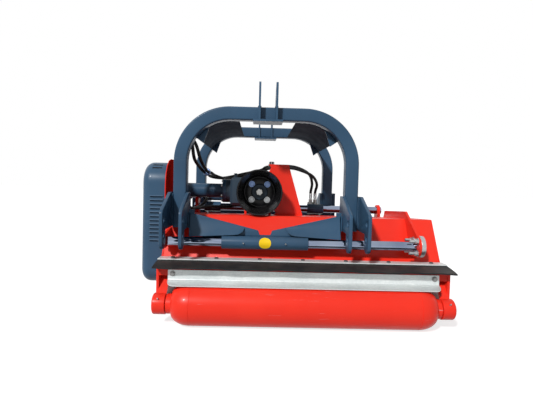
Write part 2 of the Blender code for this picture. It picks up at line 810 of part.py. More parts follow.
def flap_line(lift):
    """The flap's line in the YZ plane: flat on the lip, then drooping over the roller."""
    lip = at_rotor(-NEAR_FOOT_REACH - NEAR_LIP_DEPTH)
    root = at_rotor(-NEAR_FOOT_REACH) - STRIP_BOLT_RADIUS
    tip = at_rotor(-NEAR_FOOT_REACH - FLAP_REACH)
    base = NEAR_LIP_HEIGHT + GAP + lift
    middle = (lip + tip) / 2
    return bent_line([(root, base), (lip, base, 0.05), (middle, base - FLAP_DROOP * 0.35, 0.05),
                      (tip, base - FLAP_DROOP)], 2)


def rubber_flap():
    """The rubber flap that lies on the near lip and droops over the roller."""
    return bent_sheet("rubber_flap", flap_line(0.0), (LEFT_FACE, RIGHT_FACE), FLAP_THICKNESS,
                      BLACK_RUBBER, side=1.0)


def flap_strip():
    """The clamp strip on the flap, with a row of round bolt heads."""
    low = NEAR_LIP_HEIGHT + 2 * GAP + FLAP_THICKNESS
    rear = at_rotor(-NEAR_FOOT_REACH) - STRIP_BOLT_RADIUS
    strip = box("flap_strip", (LEFT_FACE, RIGHT_FACE), (rear - STRIP_WIDTH, rear),
                (low, low + STRIP_THICKNESS), GALVANISED)
    middle = rear - STRIP_WIDTH / 2
    return join(strip, bolt_row("flap_strip_bolts", middle, low, "Z"))


def bolt_row(name, across, face, axis):
    """A row of round bolt heads along X, that stand on a strip's face along Z or Y."""
    count = int((RIGHT_FACE - LEFT_FACE) / STRIP_BOLT_PITCH) + 1
    start = HOUSING_X - STRIP_BOLT_PITCH * (count - 1) / 2
    top = STRIP_THICKNESS + STRIP_BOLT_HEIGHT
    profile = [(STRIP_THICKNESS / 2, 0.0), (STRIP_THICKNESS / 2, STRIP_BOLT_RADIUS),
               (top, STRIP_BOLT_RADIUS * 0.7), (top, 0.0)]
    heads = []
    for i in range(count):
        x = start + i * STRIP_BOLT_PITCH
        centre = (x, across, face) if axis == "Z" else (x, face, across)
        heads.append(turned(name, axis, centre, profile, sides=6))
    return merged(name, heads)


def intake_curtain():
    """The slit rubber curtain that hangs outside the far lip."""
    y = at_rotor(FAR_FOOT_REACH) + GAP + CURTAIN_THICKNESS / 2
    top = FAR_LIP_HEIGHT - HOOD_BEND_RADIUS - GAP
    outline = [(RIGHT_FACE, top), (LEFT_FACE, top), (LEFT_FACE, CURTAIN_CLEARANCE)]
    pitch = (RIGHT_FACE - LEFT_FACE) / (CURTAIN_SLIT_COUNT + 1)
    half = CURTAIN_SLIT_WIDTH / 2
    for i in range(1, CURTAIN_SLIT_COUNT + 1):
        x = LEFT_FACE + i * pitch
        outline += [(x - half, CURTAIN_CLEARANCE), (x - half, CURTAIN_CLEARANCE + CURTAIN_SLIT_HEIGHT),
                    (x + half, CURTAIN_CLEARANCE + CURTAIN_SLIT_HEIGHT), (x + half, CURTAIN_CLEARANCE)]
    outline.append((RIGHT_FACE, CURTAIN_CLEARANCE))
    return plate("intake_curtain", "Y", y, outline, CURTAIN_THICKNESS, BLACK_RUBBER)


def intake_strip():
    """The clamp strip outside the curtain, with its bolts."""
    near = at_rotor(FAR_FOOT_REACH) + 2 * GAP + CURTAIN_THICKNESS
    top = FAR_LIP_HEIGHT - HOOD_BEND_RADIUS - GAP
    bottom = FAR_LIP_HEIGHT - FAR_LIP_DROP
    strip = box("intake_strip", (LEFT_FACE, RIGHT_FACE), (near, near + STRIP_THICKNESS), (bottom, top),
                GALVANISED)
    return join(strip, bolt_row("intake_strip_bolts", (top + bottom) / 2, near, "Y"))


def ground_roller():
    """The hollow roller: a barrel with domed ends, necks, and journals with a vent bore."""
    half = ROLLER_BARREL / 2
    dome = []
    steps = 4
    for i in range(steps + 1):
        angle = math.pi / 2 * i / steps
        along = half + ROLLER_DOME * math.sin(angle)
        radius = ROLLER_NECK_RADIUS + (ROLLER_RADIUS - ROLLER_NECK_RADIUS) * math.cos(angle)
        dome.append((along, radius))
    neck = dome[-1][0] + ROLLER_NECK
    right = [*dome, (neck, ROLLER_NECK_RADIUS), (neck, ROLLER_JOURNAL_RADIUS),
             (neck + ROLLER_JOURNAL, ROLLER_JOURNAL_RADIUS), (neck + ROLLER_JOURNAL, ROLLER_VENT_RADIUS)]
    hollow = ROLLER_RADIUS - ROLLER_WALL
    inner = half + ROLLER_DOME - ROLLER_WALL
    bore = [(inner, ROLLER_VENT_RADIUS), (inner, ROLLER_NECK_RADIUS - ROLLER_WALL), (half, hollow)]
    left = [(-along, radius) for along, radius in reversed(right)]
    left_bore = [(-along, radius) for along, radius in reversed(bore)]
    profile = [*left, *right, *bore, *left_bore]
    roller = turned("ground_roller", "X", (HOUSING_X, ROLLER_Y, ROLLER_RADIUS), profile, RED,
                    sides=18, ring=True)
    return smooth_turned(roller)


def smooth_turned(item):
    """Shade a turned piece smooth, through its Screw modifier."""
    for modifier in item.modifiers:
        if modifier.type == "SCREW":
            modifier.use_smooth_shade = True
    return item


def roller_reach():
    """The distance from the roller's middle to its bearing housing's inner end."""
    return ROLLER_BARREL / 2 + ROLLER_DOME + ROLLER_NECK + ROLLER_END_PLAY


def roller_arm(name, sign):
    """A roller arm: an outer plate, a slanting web and the roller's bearing housing."""
    inside = LEFT_INSIDE + GAP if sign < 0 else RIGHT_INSIDE - GAP
    x = inside - sign * ARM_THICKNESS / 2
    eye = (ROLLER_Y, ROLLER_RADIUS)
    start = math.radians(-60)
    front = at_rotor(-ARM_FRONT_REACH)
    end = math.acos((front - ROLLER_Y) / ROLLER_HOUSING_RADIUS) - 2 * math.pi
    lobe = arc(eye, ROLLER_HOUSING_RADIUS - GAP, start, end, 6)
    rear = at_rotor(-ARM_REAR_REACH)
    outline = [*lobe, (front, ARM_TOP_HEIGHT), (rear, ARM_TOP_HEIGHT), (rear, ARM_TOP_HEIGHT - ARM_REAR_DROP)]
    arm = plate(name, "X", x, outline, ARM_THICKNESS, RED)
    low = roller_reach()
    high = low + ROLLER_HOUSING_LENGTH
    depth = low + ROLLER_JOURNAL - ROLLER_END_PLAY + RUNNING_GAP * 3
    edge = (high - low) / 7
    profile = [(low, 0.0), (low, ROLLER_HOUSING_RADIUS), (high - edge, ROLLER_HOUSING_RADIUS),
               (high, ROLLER_HOUSING_RADIUS - edge), (high, 0.0)]
    housing = turned(name + "_housing", "X", (HOUSING_X, ROLLER_Y, ROLLER_RADIUS),
                     outward(profile, sign), sides=12)
    web_low = ROLLER_RADIUS + ROLLER_HOUSING_RADIUS * 0.85
    line = [(ROLLER_Y, web_low), (ROLLER_Y + ARM_WEB_RUN, ARM_TOP_HEIGHT)]
    inner = inside - sign * (ARM_THICKNESS + ARM_WEB_WIDTH)
    across = sorted((inside - sign * ARM_THICKNESS / 2, inner))
    web = bent_sheet(name + "_web", line, across, ARM_WEB_THICKNESS, side=0.0)
    journal = rod(name + "_journal_room", "X", (HOUSING_X, ROLLER_Y, ROLLER_RADIUS),
                  *sorted((sign * (low - ROLLER_HOUSING_LENGTH), sign * depth)),
                  clearing(ROLLER_JOURNAL_RADIUS + RUNNING_GAP, 12), sides=12)
    return cut(join(arm, housing, web), journal)


def scraper_span():
    """The scraper plate's ends along X."""
    inset = SIDE_THICKNESS + GAP + ARM_THICKNESS + SCRAPER_END_CLEARANCE
    return LEFT_FACE + inset, RIGHT_FACE - inset


def scraper_plate():
    """The bent plate that keeps the roller clean, with rounded lower corners and two bolts."""
    y = at_rotor(-ARM_FRONT_REACH)
    line = bent_line([
        (y, SCRAPER_TOP_HEIGHT),
        (y, SCRAPER_BEND_HEIGHT, SCRAPER_THICKNESS * 2),
        (y - SCRAPER_FLANGE_REACH, SCRAPER_BEND_HEIGHT - SCRAPER_FLANGE_DROP),
    ])
    span = scraper_span()
    sheet = bent_sheet("scraper_plate", line, span, SCRAPER_THICKNESS, GALVANISED, side=0.0)
    heads = []
    for x in (span[0] + SCRAPER_BOLT_INSET, span[1] - SCRAPER_BOLT_INSET):
        profile = [(-SCRAPER_THICKNESS * 2.5, 0.0), (-SCRAPER_THICKNESS * 2.5, SCRAPER_BOLT_RADIUS * 0.5),
                   (-SCRAPER_THICKNESS * 1.5, SCRAPER_BOLT_RADIUS), (0.0, SCRAPER_BOLT_RADIUS), (0.0, 0.0)]
        heads.append(turned("head", "Y", (x, y, SCRAPER_BOLT_HEIGHT), profile, sides=6))
    corners = []
    tip = y - SCRAPER_FLANGE_REACH
    for x, sign in ((span[0], 1), (span[1], -1)):
        outline = [(x - sign * GAP, tip - GAP), (x + sign * SCRAPER_CORNER, tip - GAP)]
        centre = (x + sign * SCRAPER_CORNER, tip + SCRAPER_CORNER)
        turn = (math.pi * 1.5, math.pi) if sign > 0 else (-math.pi / 2, 0.0)
        outline += [(px, py) for px, py in arc(centre, SCRAPER_CORNER + GAP / 2, *turn, 3)]
        corners.append(plate("corner", "Z", SCRAPER_BEND_HEIGHT - SCRAPER_FLANGE_DROP, outline,
                             SCRAPER_CORNER))
    return cut(join(sheet, merged("scraper_bolts", heads)), merged("scraper_corners", corners))


def scraper_rail():
    """The flat rail between the arms that the scraper is bolted to."""
    inset = SIDE_THICKNESS + 2 * GAP + ARM_THICKNESS
    near = at_rotor(-ARM_FRONT_REACH) + SCRAPER_THICKNESS / 2 + GAP
    return box("scraper_rail", (LEFT_FACE + inset, RIGHT_FACE - inset),
               (near, near + SCRAPER_RAIL_THICKNESS),
               (ARM_TOP_HEIGHT - SCRAPER_RAIL_HEIGHT, ARM_TOP_HEIGHT), RED)


def bracket_span(sign):
    """The near bar bracket's two faces along X, outer face first."""
    if sign < 0:
        outer = LEFT_FACE + LEFT_BRACKET_INSET
        return outer, outer + BRACKET_THICKNESS
    outer = RIGHT_FACE - RIGHT_BRACKET_INSET
    return outer, outer - BRACKET_THICKNESS


def bar_bracket_left():
    """The small plate on the near panel that holds the near bar's spigot."""
    eye = (NEAR_BAR_Y, NEAR_BAR_HEIGHT)
    lobe = arc(eye, LEFT_LOBE_RADIUS, math.radians(110), math.radians(290), 6)
    low = NEAR_BAR_HEIGHT - BRACKET_LOBE_RADIUS / 2
    high = NEAR_BAR_HEIGHT + BRACKET_LOBE_RADIUS
    outline = [*lobe, (near_panel_y(low) - 2 * GAP, low), (near_panel_y(high) - 2 * GAP, high)]
    hole = circle(eye, BAR_SPIGOT_RADIUS + GAP)
    x = sum(bracket_span(-1)) / 2
    return plate("bar_bracket_left", "X", x, outline, BRACKET_THICKNESS, RED, [hole])


def bar_bracket_right():
    """The large plate that holds the near bar's flange and runs up and back over the deck."""
    eye = (NEAR_BAR_Y, NEAR_BAR_HEIGHT)
    low = NEAR_BAR_HEIGHT - BRACKET_LOBE_RADIUS
    front_y = at_rotor(HOOD_TOP_FRONT[0])
    lift = 2 * GAP
    rear_y = front_y + BRACKET_RIDGE_LENGTH * 0.9
    ridge_rear = (rear_y, deck_height(rear_y) + lift)
    top_rear = (rear_y - BRACKET_RIDGE_RISE / 2, deck_height(rear_y) + BRACKET_RIDGE_RISE)
    top_front = (front_y, HOOD_TOP_FRONT[1] + BRACKET_RIDGE_RISE)
    lobe = arc(eye, BRACKET_LOBE_RADIUS, math.radians(140), math.radians(300), 8)
    outline = [*lobe, (near_panel_y(low) - lift, low), (front_y - lift, HOOD_TOP_FRONT[1] + lift),
               ridge_rear, top_rear, top_front]
    holes = [circle(eye, BAR_RADIUS + GAP)]
    holes += [circle(place, FLANGE_BOLT_RADIUS + BOLT_CLEARANCE, 6) for place in flange_bolts(eye)]
    x = sum(bracket_span(1)) / 2
    return plate("bar_bracket_right", "X", x, outline, BRACKET_THICKNESS, RED, holes)


def flange_bolts(centre):
    """The places of the four bolts round the near bar's flange."""
    return [(centre[0] + FLANGE_BOLT_CIRCLE * math.cos(angle),
             centre[1] + FLANGE_BOLT_CIRCLE * math.sin(angle))
            for angle in (math.radians(45 + 90 * i) for i in range(4))]


def slide_bar_near():
    """The chromed near bar, with a spigot and nut in the left bracket."""
    outer, inner = bracket_span(-1)
    right = bracket_span(1)[0] + GAP + BAR_FLANGE_THICKNESS
    nut = outer - GAP
    profile = [(nut - BAR_NUT_LENGTH, 0.0), (nut - BAR_NUT_LENGTH, BAR_NUT_RADIUS), (nut, BAR_NUT_RADIUS),
               (nut, BAR_SPIGOT_RADIUS), (inner + GAP, BAR_SPIGOT_RADIUS), (inner + GAP, BAR_RADIUS),
               (right, BAR_RADIUS), (right, 0.0)]
    bar = turned("slide_bar_near", "X", (0.0, NEAR_BAR_Y, NEAR_BAR_HEIGHT), profile, CHROME, sides=16)
    return smooth_turned(bar)


def slide_bar_flange():
    """The bolted ring outside the right bracket, with its four bolts and nuts."""
    outer, inner = bracket_span(1)
    eye = (NEAR_BAR_Y, NEAR_BAR_HEIGHT)
    low = outer + GAP
    ring = tube("slide_bar_flange", "X", (0.0, *eye), low, low + BAR_FLANGE_THICKNESS, BAR_FLANGE_RADIUS,
                BAR_RADIUS + GAP, GALVANISED, sides=16)
    bolts = []
    nut = inner - GAP
    for place in flange_bolts(eye):
        profile = [(inner - FLANGE_BOLT_LENGTH, 0.0), (inner - FLANGE_BOLT_LENGTH, FLANGE_BOLT_RADIUS),
                   (nut - FLANGE_NUT_LENGTH, FLANGE_BOLT_RADIUS),
                   (nut - FLANGE_NUT_LENGTH, FLANGE_NUT_RADIUS),
                   (nut, FLANGE_NUT_RADIUS), (nut, FLANGE_BOLT_RADIUS),
                   (low + BAR_FLANGE_THICKNESS / 2, FLANGE_BOLT_RADIUS),
                   (low + BAR_FLANGE_THICKNESS / 2, 0.0)]
        bolts.append(turned("bolt", "X", (0.0, *place), profile, sides=6))
    return join(smooth_turned(ring), merged("flange_bolts", bolts))


def far_block_x(sign):
    """The middle of a far bar block along X."""
    if sign < 0:
        return LEFT_FACE + FAR_LEFT_BLOCK_INSET + FAR_BLOCK_THICKNESS / 2
    return RIGHT_FACE - FAR_RIGHT_BLOCK_INSET - FAR_BLOCK_THICKNESS / 2


def far_bar_block(name, sign):
    """A block on the far panel that holds the far bar, and on the left the cylinder's rod too."""
    eye = (FAR_BAR_Y, FAR_BAR_HEIGHT)
    half = FAR_BLOCK_WIDTH / 2
    near, far = FAR_BAR_Y - half, FAR_BAR_Y + half
    lift = 3 * GAP
    top = eye if sign > 0 else (FAR_BAR_Y, CYLINDER_HEIGHT)
    crown = arc(top, half, 0.0, math.pi, 8)
    outline = [(far, far_panel_height(far) + lift), *crown, (near, far_panel_height(near) + lift)]
    holes = [circle(eye, BAR_RADIUS + GAP)]
    if sign < 0:
        holes.append(circle(top, CYLINDER_ROD_RADIUS + GAP, 12))
    return plate(name, "X", far_block_x(sign), outline, FAR_BLOCK_THICKNESS, RED, holes)


def slide_bar_far():
    """The chromed far bar, through both blocks."""
    reach = FAR_BLOCK_THICKNESS
    bar = rod("slide_bar_far", "X", (0.0, FAR_BAR_Y, FAR_BAR_HEIGHT), far_block_x(-1) - reach,
              far_block_x(1) + reach, BAR_RADIUS, CHROME, sides=12)
    return smooth_turned(bar)


def cylinder_eye_x():
    """The middle of the cylinder rod's eye along X."""
    return LEFT_FACE + CYLINDER_EYE_RADIUS + SIDE_THICKNESS


def cylinder_anchor():
    """The clevis on the belt plate, with the pin through the rod's eye."""
    half = CYLINDER_EYE_WIDTH / 2 + RUNNING_GAP
    wall = ANCHOR_WALL
    middle = cylinder_eye_x()
    radius = CYLINDER_EYE_RADIUS * 0.8
    root = BELT_PLATE_X
    outline = [(root, CYLINDER_HEIGHT - radius), *arc((middle, CYLINDER_HEIGHT), radius, -math.pi / 2,
               math.pi / 2, 5), (root, CYLINDER_HEIGHT + radius)]
    near = plate("anchor_near", "Y", FAR_BAR_Y - half - wall / 2, outline, wall)
    far = plate("anchor_far", "Y", FAR_BAR_Y + half + wall / 2, outline, wall)
    back = box("anchor_back", (root, LEFT_FACE + SIDE_THICKNESS * 0.8),
               (FAR_BAR_Y - half - wall, FAR_BAR_Y + half + wall),
               (CYLINDER_HEIGHT - radius, CYLINDER_HEIGHT + radius))
    pin = rod("anchor_pin", "Y", (middle, FAR_BAR_Y, CYLINDER_HEIGHT), -half - wall / 2, half + wall / 2,
              CYLINDER_PIN_RADIUS, sides=8)
    return join(near, far, back, pin)


def barrel_left():
    """The cylinder barrel's gland end along X, at rest."""
    return far_block_x(-1) + FAR_BLOCK_THICKNESS / 2 + CYLINDER_RADIUS


def cylinder_rod():
    """The chromed rod with its eye, and the piston inside the barrel."""
    place = (0.0, FAR_BAR_Y, CYLINDER_HEIGHT)
    piston_end = barrel_left() + CYLINDER_BARREL_LENGTH - 2 * CYLINDER_RADIUS
    piston = CYLINDER_RADIUS - CYLINDER_WALL - RUNNING_GAP
    profile = [(cylinder_eye_x(), 0.0), (cylinder_eye_x(), CYLINDER_ROD_RADIUS),
               (piston_end - CYLINDER_RADIUS, CYLINDER_ROD_RADIUS), (piston_end - CYLINDER_RADIUS, piston),
               (piston_end, piston), (piston_end, 0.0)]
    item = smooth_turned(turned("cylinder_rod", "X", place, profile, CHROME, sides=12))
    eye = rod("rod_eye", "Y", (cylinder_eye_x(), FAR_BAR_Y, CYLINDER_HEIGHT), -CYLINDER_EYE_WIDTH / 2,
              CYLINDER_EYE_WIDTH / 2, CYLINDER_EYE_RADIUS, sides=12)
    hole = rod("rod_eye_hole", "Y", (cylinder_eye_x(), FAR_BAR_Y, CYLINDER_HEIGHT), -CYLINDER_EYE_WIDTH,
               CYLINDER_EYE_WIDTH, clearing(CYLINDER_PIN_RADIUS + EYE_PLAY, 8), sides=8)
    return cut(join(item, eye), hole)


def cylinder_barrel():
    """The cylinder's barrel: a gland bore, the piston's room and a stub in the carriage's lug."""
    low = barrel_left()
    high = low + CYLINDER_BARREL_LENGTH
    room = clearing(CYLINDER_RADIUS - CYLINDER_WALL, 12)
    gland = clearing(CYLINDER_ROD_RADIUS + RUNNING_GAP, 12)
    end = high - CYLINDER_RADIUS
    profile = [(end, 0.0), (end, room), (low + CYLINDER_RADIUS, room), (low + CYLINDER_RADIUS, gland),
               (low, gland), (low, CYLINDER_RADIUS), (high, CYLINDER_RADIUS), (high, CYLINDER_PIN_RADIUS),
               (high + 2 * FAR_GUSSET_THICKNESS, CYLINDER_PIN_RADIUS), (high + 2 * FAR_GUSSET_THICKNESS, 0.0)]
    item = turned("cylinder_barrel", "X", (0.0, FAR_BAR_Y, CYLINDER_HEIGHT), profile, SLATE, sides=12)
    ports = [rod("port", "Y", (x, FAR_BAR_Y, CYLINDER_HEIGHT), -CYLINDER_RADIUS - PORT_LENGTH,
                 CYLINDER_WALL / 2 - CYLINDER_RADIUS, PORT_RADIUS, sides=6) for x in cylinder_ports()]
    return join(smooth_turned(item), merged("cylinder_ports", ports))


def hoop_outline(inset):
    """A hoop's front outline in the XZ plane, all of it drawn in by an inset from the tube's faces."""
    outer = HOOP_HALF_WIDTH - inset
    inner = HOOP_HALF_WIDTH - HOOP_TUBE + inset
    top = HOOP_TOP - inset
    under = HOOP_TOP - HOOP_TUBE + inset
    foot = HOOP_FOOT - (HOOP_TUBE if inset > 0 else 0.0)
    corner = HOOP_HALF_WIDTH - HOOP_CORNER_RADIUS
    high = HOOP_TOP - HOOP_CORNER_RADIUS
    big, small = top - high, under - high
    right = [(outer, foot), *arc((corner, high), big, 0.0, math.pi / 2, HOOP_STEPS)]
    left = [(-x, z) for x, z in reversed(right)]
    inside_right = [(inner, foot), *arc((corner, high), small, 0.0, math.pi / 2, HOOP_STEPS)]
    inside_left = [(-x, z) for x, z in inside_right]
    return [(HEAD_X + x, z) for x, z in [*right, *left, *inside_left, *reversed(inside_right)]]


def hoop_y(side):
    """A hoop's middle along Y: side is -1 for the near one and 1 for the far one."""
    return HEAD_Y + side * HOOP_SPREAD / 2


def hoop(name, side):
    """A bent square tube, open at its feet, with a pair of lower hitch plates on each leg."""
    item = plate(name, "Y", hoop_y(side), hoop_outline(0.0), HOOP_TUBE, SLATE)
    hollow = plate(name + "_bore", "Y", hoop_y(side), hoop_outline(HOOP_TUBE_WALL),
                   HOOP_TUBE - 2 * HOOP_TUBE_WALL)
    return join(cut(item, hollow), merged(name + "_pads", hitch_pads(side)),
                merged(name + "_plates", hitch_plates(side)))


def bridge_plate(name, sign):
    """A curved plate between the hoops, flush with their inner faces."""
    corner = HEAD_X + sign * (HOOP_HALF_WIDTH - HOOP_CORNER_RADIUS)
    high = HOOP_TOP - HOOP_CORNER_RADIUS
    inner = arc((corner, high), HOOP_INNER_RADIUS, BRIDGE_START_ANGLE, math.pi / 2, 6)
    outer = arc((corner, high), HOOP_INNER_RADIUS + BRIDGE_THICKNESS, math.pi / 2, BRIDGE_START_ANGLE, 6)
    if sign < 0:
        inner = [(2 * corner - x, z) for x, z in inner]
        outer = [(2 * corner - x, z) for x, z in outer]
    end_inner = (corner - sign * BRIDGE_RUN, high + HOOP_INNER_RADIUS)
    end_outer = (corner - sign * BRIDGE_RUN, high + HOOP_INNER_RADIUS + BRIDGE_THICKNESS)
    outline = [*inner, end_inner, end_outer, *outer]
    span = HOOP_SPREAD - HOOP_TUBE - 2 * GAP
    return plate(name, "Y", HEAD_Y, outline, span, SLATE)


def top_link_bracket(name, side):
    """Two top-link lugs that straddle a hoop's top, on a base plate under it."""
    front = hoop_y(side) + side * HOOP_TUBE / 2
    rear = hoop_y(side) - side * HOOP_TUBE / 2
    overhang = front + side * TOP_LINK_OVERHANG
    behind = rear - side * TOP_LINK_THICKNESS
    foot = HOOP_TOP - HOOP_TUBE - TOP_LINK_FOOT_DROP
    crotch = HOOP_TOP + GAP
    outline = [
        (overhang, foot), (front + side * GAP, foot), (front + side * GAP, crotch),
        (rear - side * GAP, crotch), (rear - side * GAP, foot), (behind, foot),
        (behind, HOOP_TOP + TOP_LINK_OVERHANG), (front, TOP_LINK_TOP),
    ]
    outline += arc((overhang - side * TOP_LINK_OVERHANG / 2, TOP_LINK_TOP - TOP_LINK_OVERHANG / 2),
                   TOP_LINK_OVERHANG / 2, math.pi / 2, math.pi / 2 - side * math.pi / 2, 3)
    eye = (overhang - side * TOP_LINK_OVERHANG / 2, TOP_LINK_PIN_HEIGHT)
    hole = circle(eye, TOP_LINK_PIN_RADIUS + GAP, 10)
    lugs = []
    for sign in (-1, 1):
        x = HEAD_X + sign * TOP_LINK_SPACING / 2
        finish = SLATE if sign < 0 else None
        lugs.append(plate(name if sign < 0 else name + "_right", "X", x, outline, TOP_LINK_THICKNESS,
                          finish, [hole]))
    half = TOP_LINK_BASE_WIDTH / 2
    low = HOOP_TOP - HOOP_TUBE - GAP - TOP_LINK_FOOT_DROP
    base = box(name + "_base", (HEAD_X - half, HEAD_X + half), tuple(sorted((overhang, behind))),
               (low, HOOP_TOP - HOOP_TUBE - GAP))
    return join(lugs[0], lugs[1], base)


def top_link_pin():
    """The pin through the far lugs, with a collar on one end."""
    y = hoop_y(1) + HOOP_TUBE / 2 + TOP_LINK_OVERHANG / 2
    half = TOP_LINK_PIN_LENGTH / 2
    collar = TOP_LINK_SPACING / 2 + TOP_LINK_THICKNESS / 2 + GAP
    profile = [(-half, 0.0), (-half, TOP_LINK_PIN_RADIUS), (collar, TOP_LINK_PIN_RADIUS),
               (collar, TOP_LINK_PIN_RADIUS * 1.5), (half, TOP_LINK_PIN_RADIUS * 1.5), (half, 0.0)]
    return smooth_turned(turned("top_link_pin", "X", (HEAD_X, y, TOP_LINK_PIN_HEIGHT), profile, STEEL,
                                sides=10))


def hitch_plate(name, side, x):
    """A lower hitch plate beside a hoop's leg, with a toe that hangs in front of the slide bar."""
    tip = HITCH_REACH
    leg_rear = HOOP_SPREAD / 2 - HOOP_TUBE / 2 + HITCH_INSET
    toe = tip - HITCH_TOE_DEPTH
    slope = HOOP_SPREAD / 2 + HOOP_TUBE / 2
    corners = [
        (leg_rear, HITCH_TOP), (slope, HITCH_TOP), (tip, HITCH_KNEE, HITCH_KNEE_RADIUS),
        (tip, HITCH_BOTTOM, HITCH_TOE_DEPTH / 2 - GAP), (toe, HITCH_BOTTOM, HITCH_TOE_DEPTH / 2 - GAP),
        (toe, HITCH_SHELF), (leg_rear, HITCH_SHELF),
    ]
    outline = [(HEAD_Y + side * reach, z) for reach, z in rounded(corners, 2)]
    middle = HEAD_Y + side * (tip - HITCH_TOE_DEPTH / 2)
    holes = [circle((middle, z), HITCH_HOLE_RADIUS, 8) for z in HITCH_HOLE_HEIGHTS]
    return plate(name, "X", x, outline, HITCH_PLATE_THICKNESS, None, holes)


def outer_plate_reach():
    """How far an outer hitch plate's middle stands from the headstock's middle."""
    return HOOP_HALF_WIDTH + HITCH_PAD_THICKNESS - HITCH_SINK + HITCH_PLATE_THICKNESS / 2


def hitch_plates(side):
    """The four lower hitch plates of a hoop: the inner ones on its legs, the outer ones on pads."""
    inner = HOOP_HALF_WIDTH - HOOP_TUBE + HITCH_SINK - HITCH_PLATE_THICKNESS / 2
    return [hitch_plate("hitch_plate", side, HEAD_X + sign * reach)
            for sign in (-1, 1) for reach in (inner, outer_plate_reach())]


def hitch_pads(side):
    """The pads between a hoop's legs and its outer hitch plates."""
    near = HOOP_SPREAD / 2 - HOOP_TUBE / 2 + 1.5 * HITCH_INSET
    far = HOOP_SPREAD / 2 + HOOP_TUBE / 2 - HITCH_INSET
    pads = []
    for sign in (-1, 1):
        x = sorted((HEAD_X + sign * (HOOP_HALF_WIDTH - HITCH_SINK), HEAD_X + sign * outer_plate_reach()))
        y = sorted((HEAD_Y + side * near, HEAD_Y + side * far))
        pads.append(box("hitch_pad", x, y, (HITCH_SHELF + HITCH_INSET, HITCH_TOP - HITCH_INSET)))
    return pads


def wing_outline():
    """The near carriage's wings from the front, with the notch in the middle of the top edge."""
    reach = HEAD_ROOM - END_PLATE_THICKNESS / 2
    half = SLEEVE_LENGTH / 2
    right = [(half, WING_HEEL_HEIGHT), (reach, WING_END_BOTTOM), (reach, WING_END_HEIGHT),
             (WING_NOTCH_WIDTH / 2, WING_CENTRE_HEIGHT),
             (WING_NOTCH_WIDTH / 2 * 0.75, WING_CENTRE_HEIGHT - WING_NOTCH_DEPTH)]
    left = [(-x, z) for x, z in reversed(right)]
    return [(HEAD_X + x, z) for x, z in [*right, *left]]


def carriage_near():
    """The sleeve on the near bar, its tapered wings and the end plates beside the legs."""
    sleeve = tube("carriage_near", "X", (HEAD_X, NEAR_BAR_Y, NEAR_BAR_HEIGHT), -SLEEVE_LENGTH / 2,
                  SLEEVE_LENGTH / 2, SLEEVE_RADIUS, BAR_RADIUS + GAP, SLATE, sides=16)
    near = NEAR_BAR_Y + BAR_RADIUS + GAP * 5
    wings = plate("wings", "Y", near + WING_THICKNESS / 2, wing_outline(), WING_THICKNESS)
    rear = hoop_y(-1) + HOOP_TUBE / 2
    reach = HEAD_ROOM
    ends = []
    for sign in (-1, 1):
        x = sorted((HEAD_X + sign * reach, HEAD_X + sign * (reach - END_PLATE_THICKNESS)))
        ends.append(box("end", x, (near, rear), (HITCH_SHELF, WING_END_HEIGHT)))
    return join(smooth_turned(sleeve), wings, merged("end_plates", ends))


def carriage_far():
    """The far sleeves, their gussets, the cross tube between the far legs and the cylinder's lug."""
    reach = HEAD_ROOM
    y = hoop_y(1)
    half = CROSS_TUBE / 2
    z = HITCH_SHELF + half
    cross = box("carriage_far", (HEAD_X - reach, HEAD_X + reach), (y - half, y + half), (z - half, z + half),
                SLATE)
    sleeves = []
    gussets = []
    bores = []
    for sign in (-1, 1):
        outer = reach - FAR_GUSSET_THICKNESS * 0.2
        middle = HEAD_X + sign * (outer - FAR_SLIDER_LENGTH / 2)
        sleeves.append(rod("sleeve", "X", (middle, FAR_BAR_Y, FAR_BAR_HEIGHT), -FAR_SLIDER_LENGTH / 2,
                           FAR_SLIDER_LENGTH / 2, SLEEVE_RADIUS, sides=12))
        bores.append(rod("bore", "X", (middle, FAR_BAR_Y, FAR_BAR_HEIGHT), -FAR_SLIDER_LENGTH,
                         FAR_SLIDER_LENGTH, clearing(BAR_RADIUS + GAP, 12), sides=12))
        outline = [(FAR_BAR_Y, FAR_BAR_HEIGHT - SLEEVE_RADIUS * 0.8), (FAR_BAR_Y, FAR_BAR_HEIGHT
                   + SLEEVE_RADIUS * 0.8), (y, z + half * 0.8), (y, z - half * 0.8)]
        gussets.append(plate("gusset", "X", HEAD_X + sign * (outer - FAR_GUSSET_THICKNESS), outline,
                             FAR_GUSSET_THICKNESS))
    lug_x = barrel_left() + CYLINDER_BARREL_LENGTH + GAP + FAR_GUSSET_THICKNESS / 2
    under = CYLINDER_HEIGHT - CYLINDER_RADIUS * 0.9
    over = CYLINDER_HEIGHT + CYLINDER_RADIUS
    lug = [(FAR_BAR_Y - CYLINDER_RADIUS, under), (FAR_BAR_Y + SLEEVE_RADIUS, under), (y, z - half * 0.8),
           (y, z + half * 0.8), (FAR_BAR_Y + SLEEVE_RADIUS, over), (FAR_BAR_Y - CYLINDER_RADIUS, over)]
    hole = circle((FAR_BAR_Y, CYLINDER_HEIGHT), CYLINDER_PIN_RADIUS + GAP, 12)
    gussets.append(plate("cylinder_lug", "X", lug_x, lug, FAR_GUSSET_THICKNESS, None, [hole]))
    joined = join(cross, merged("far_gussets", gussets), merged("far_sleeves", sleeves))
    return cut(joined, merged("far_bores", bores))


def case_front():
    """The gearbox case's front face along Y."""
    return at_rotor(GEARBOX_FRONT)


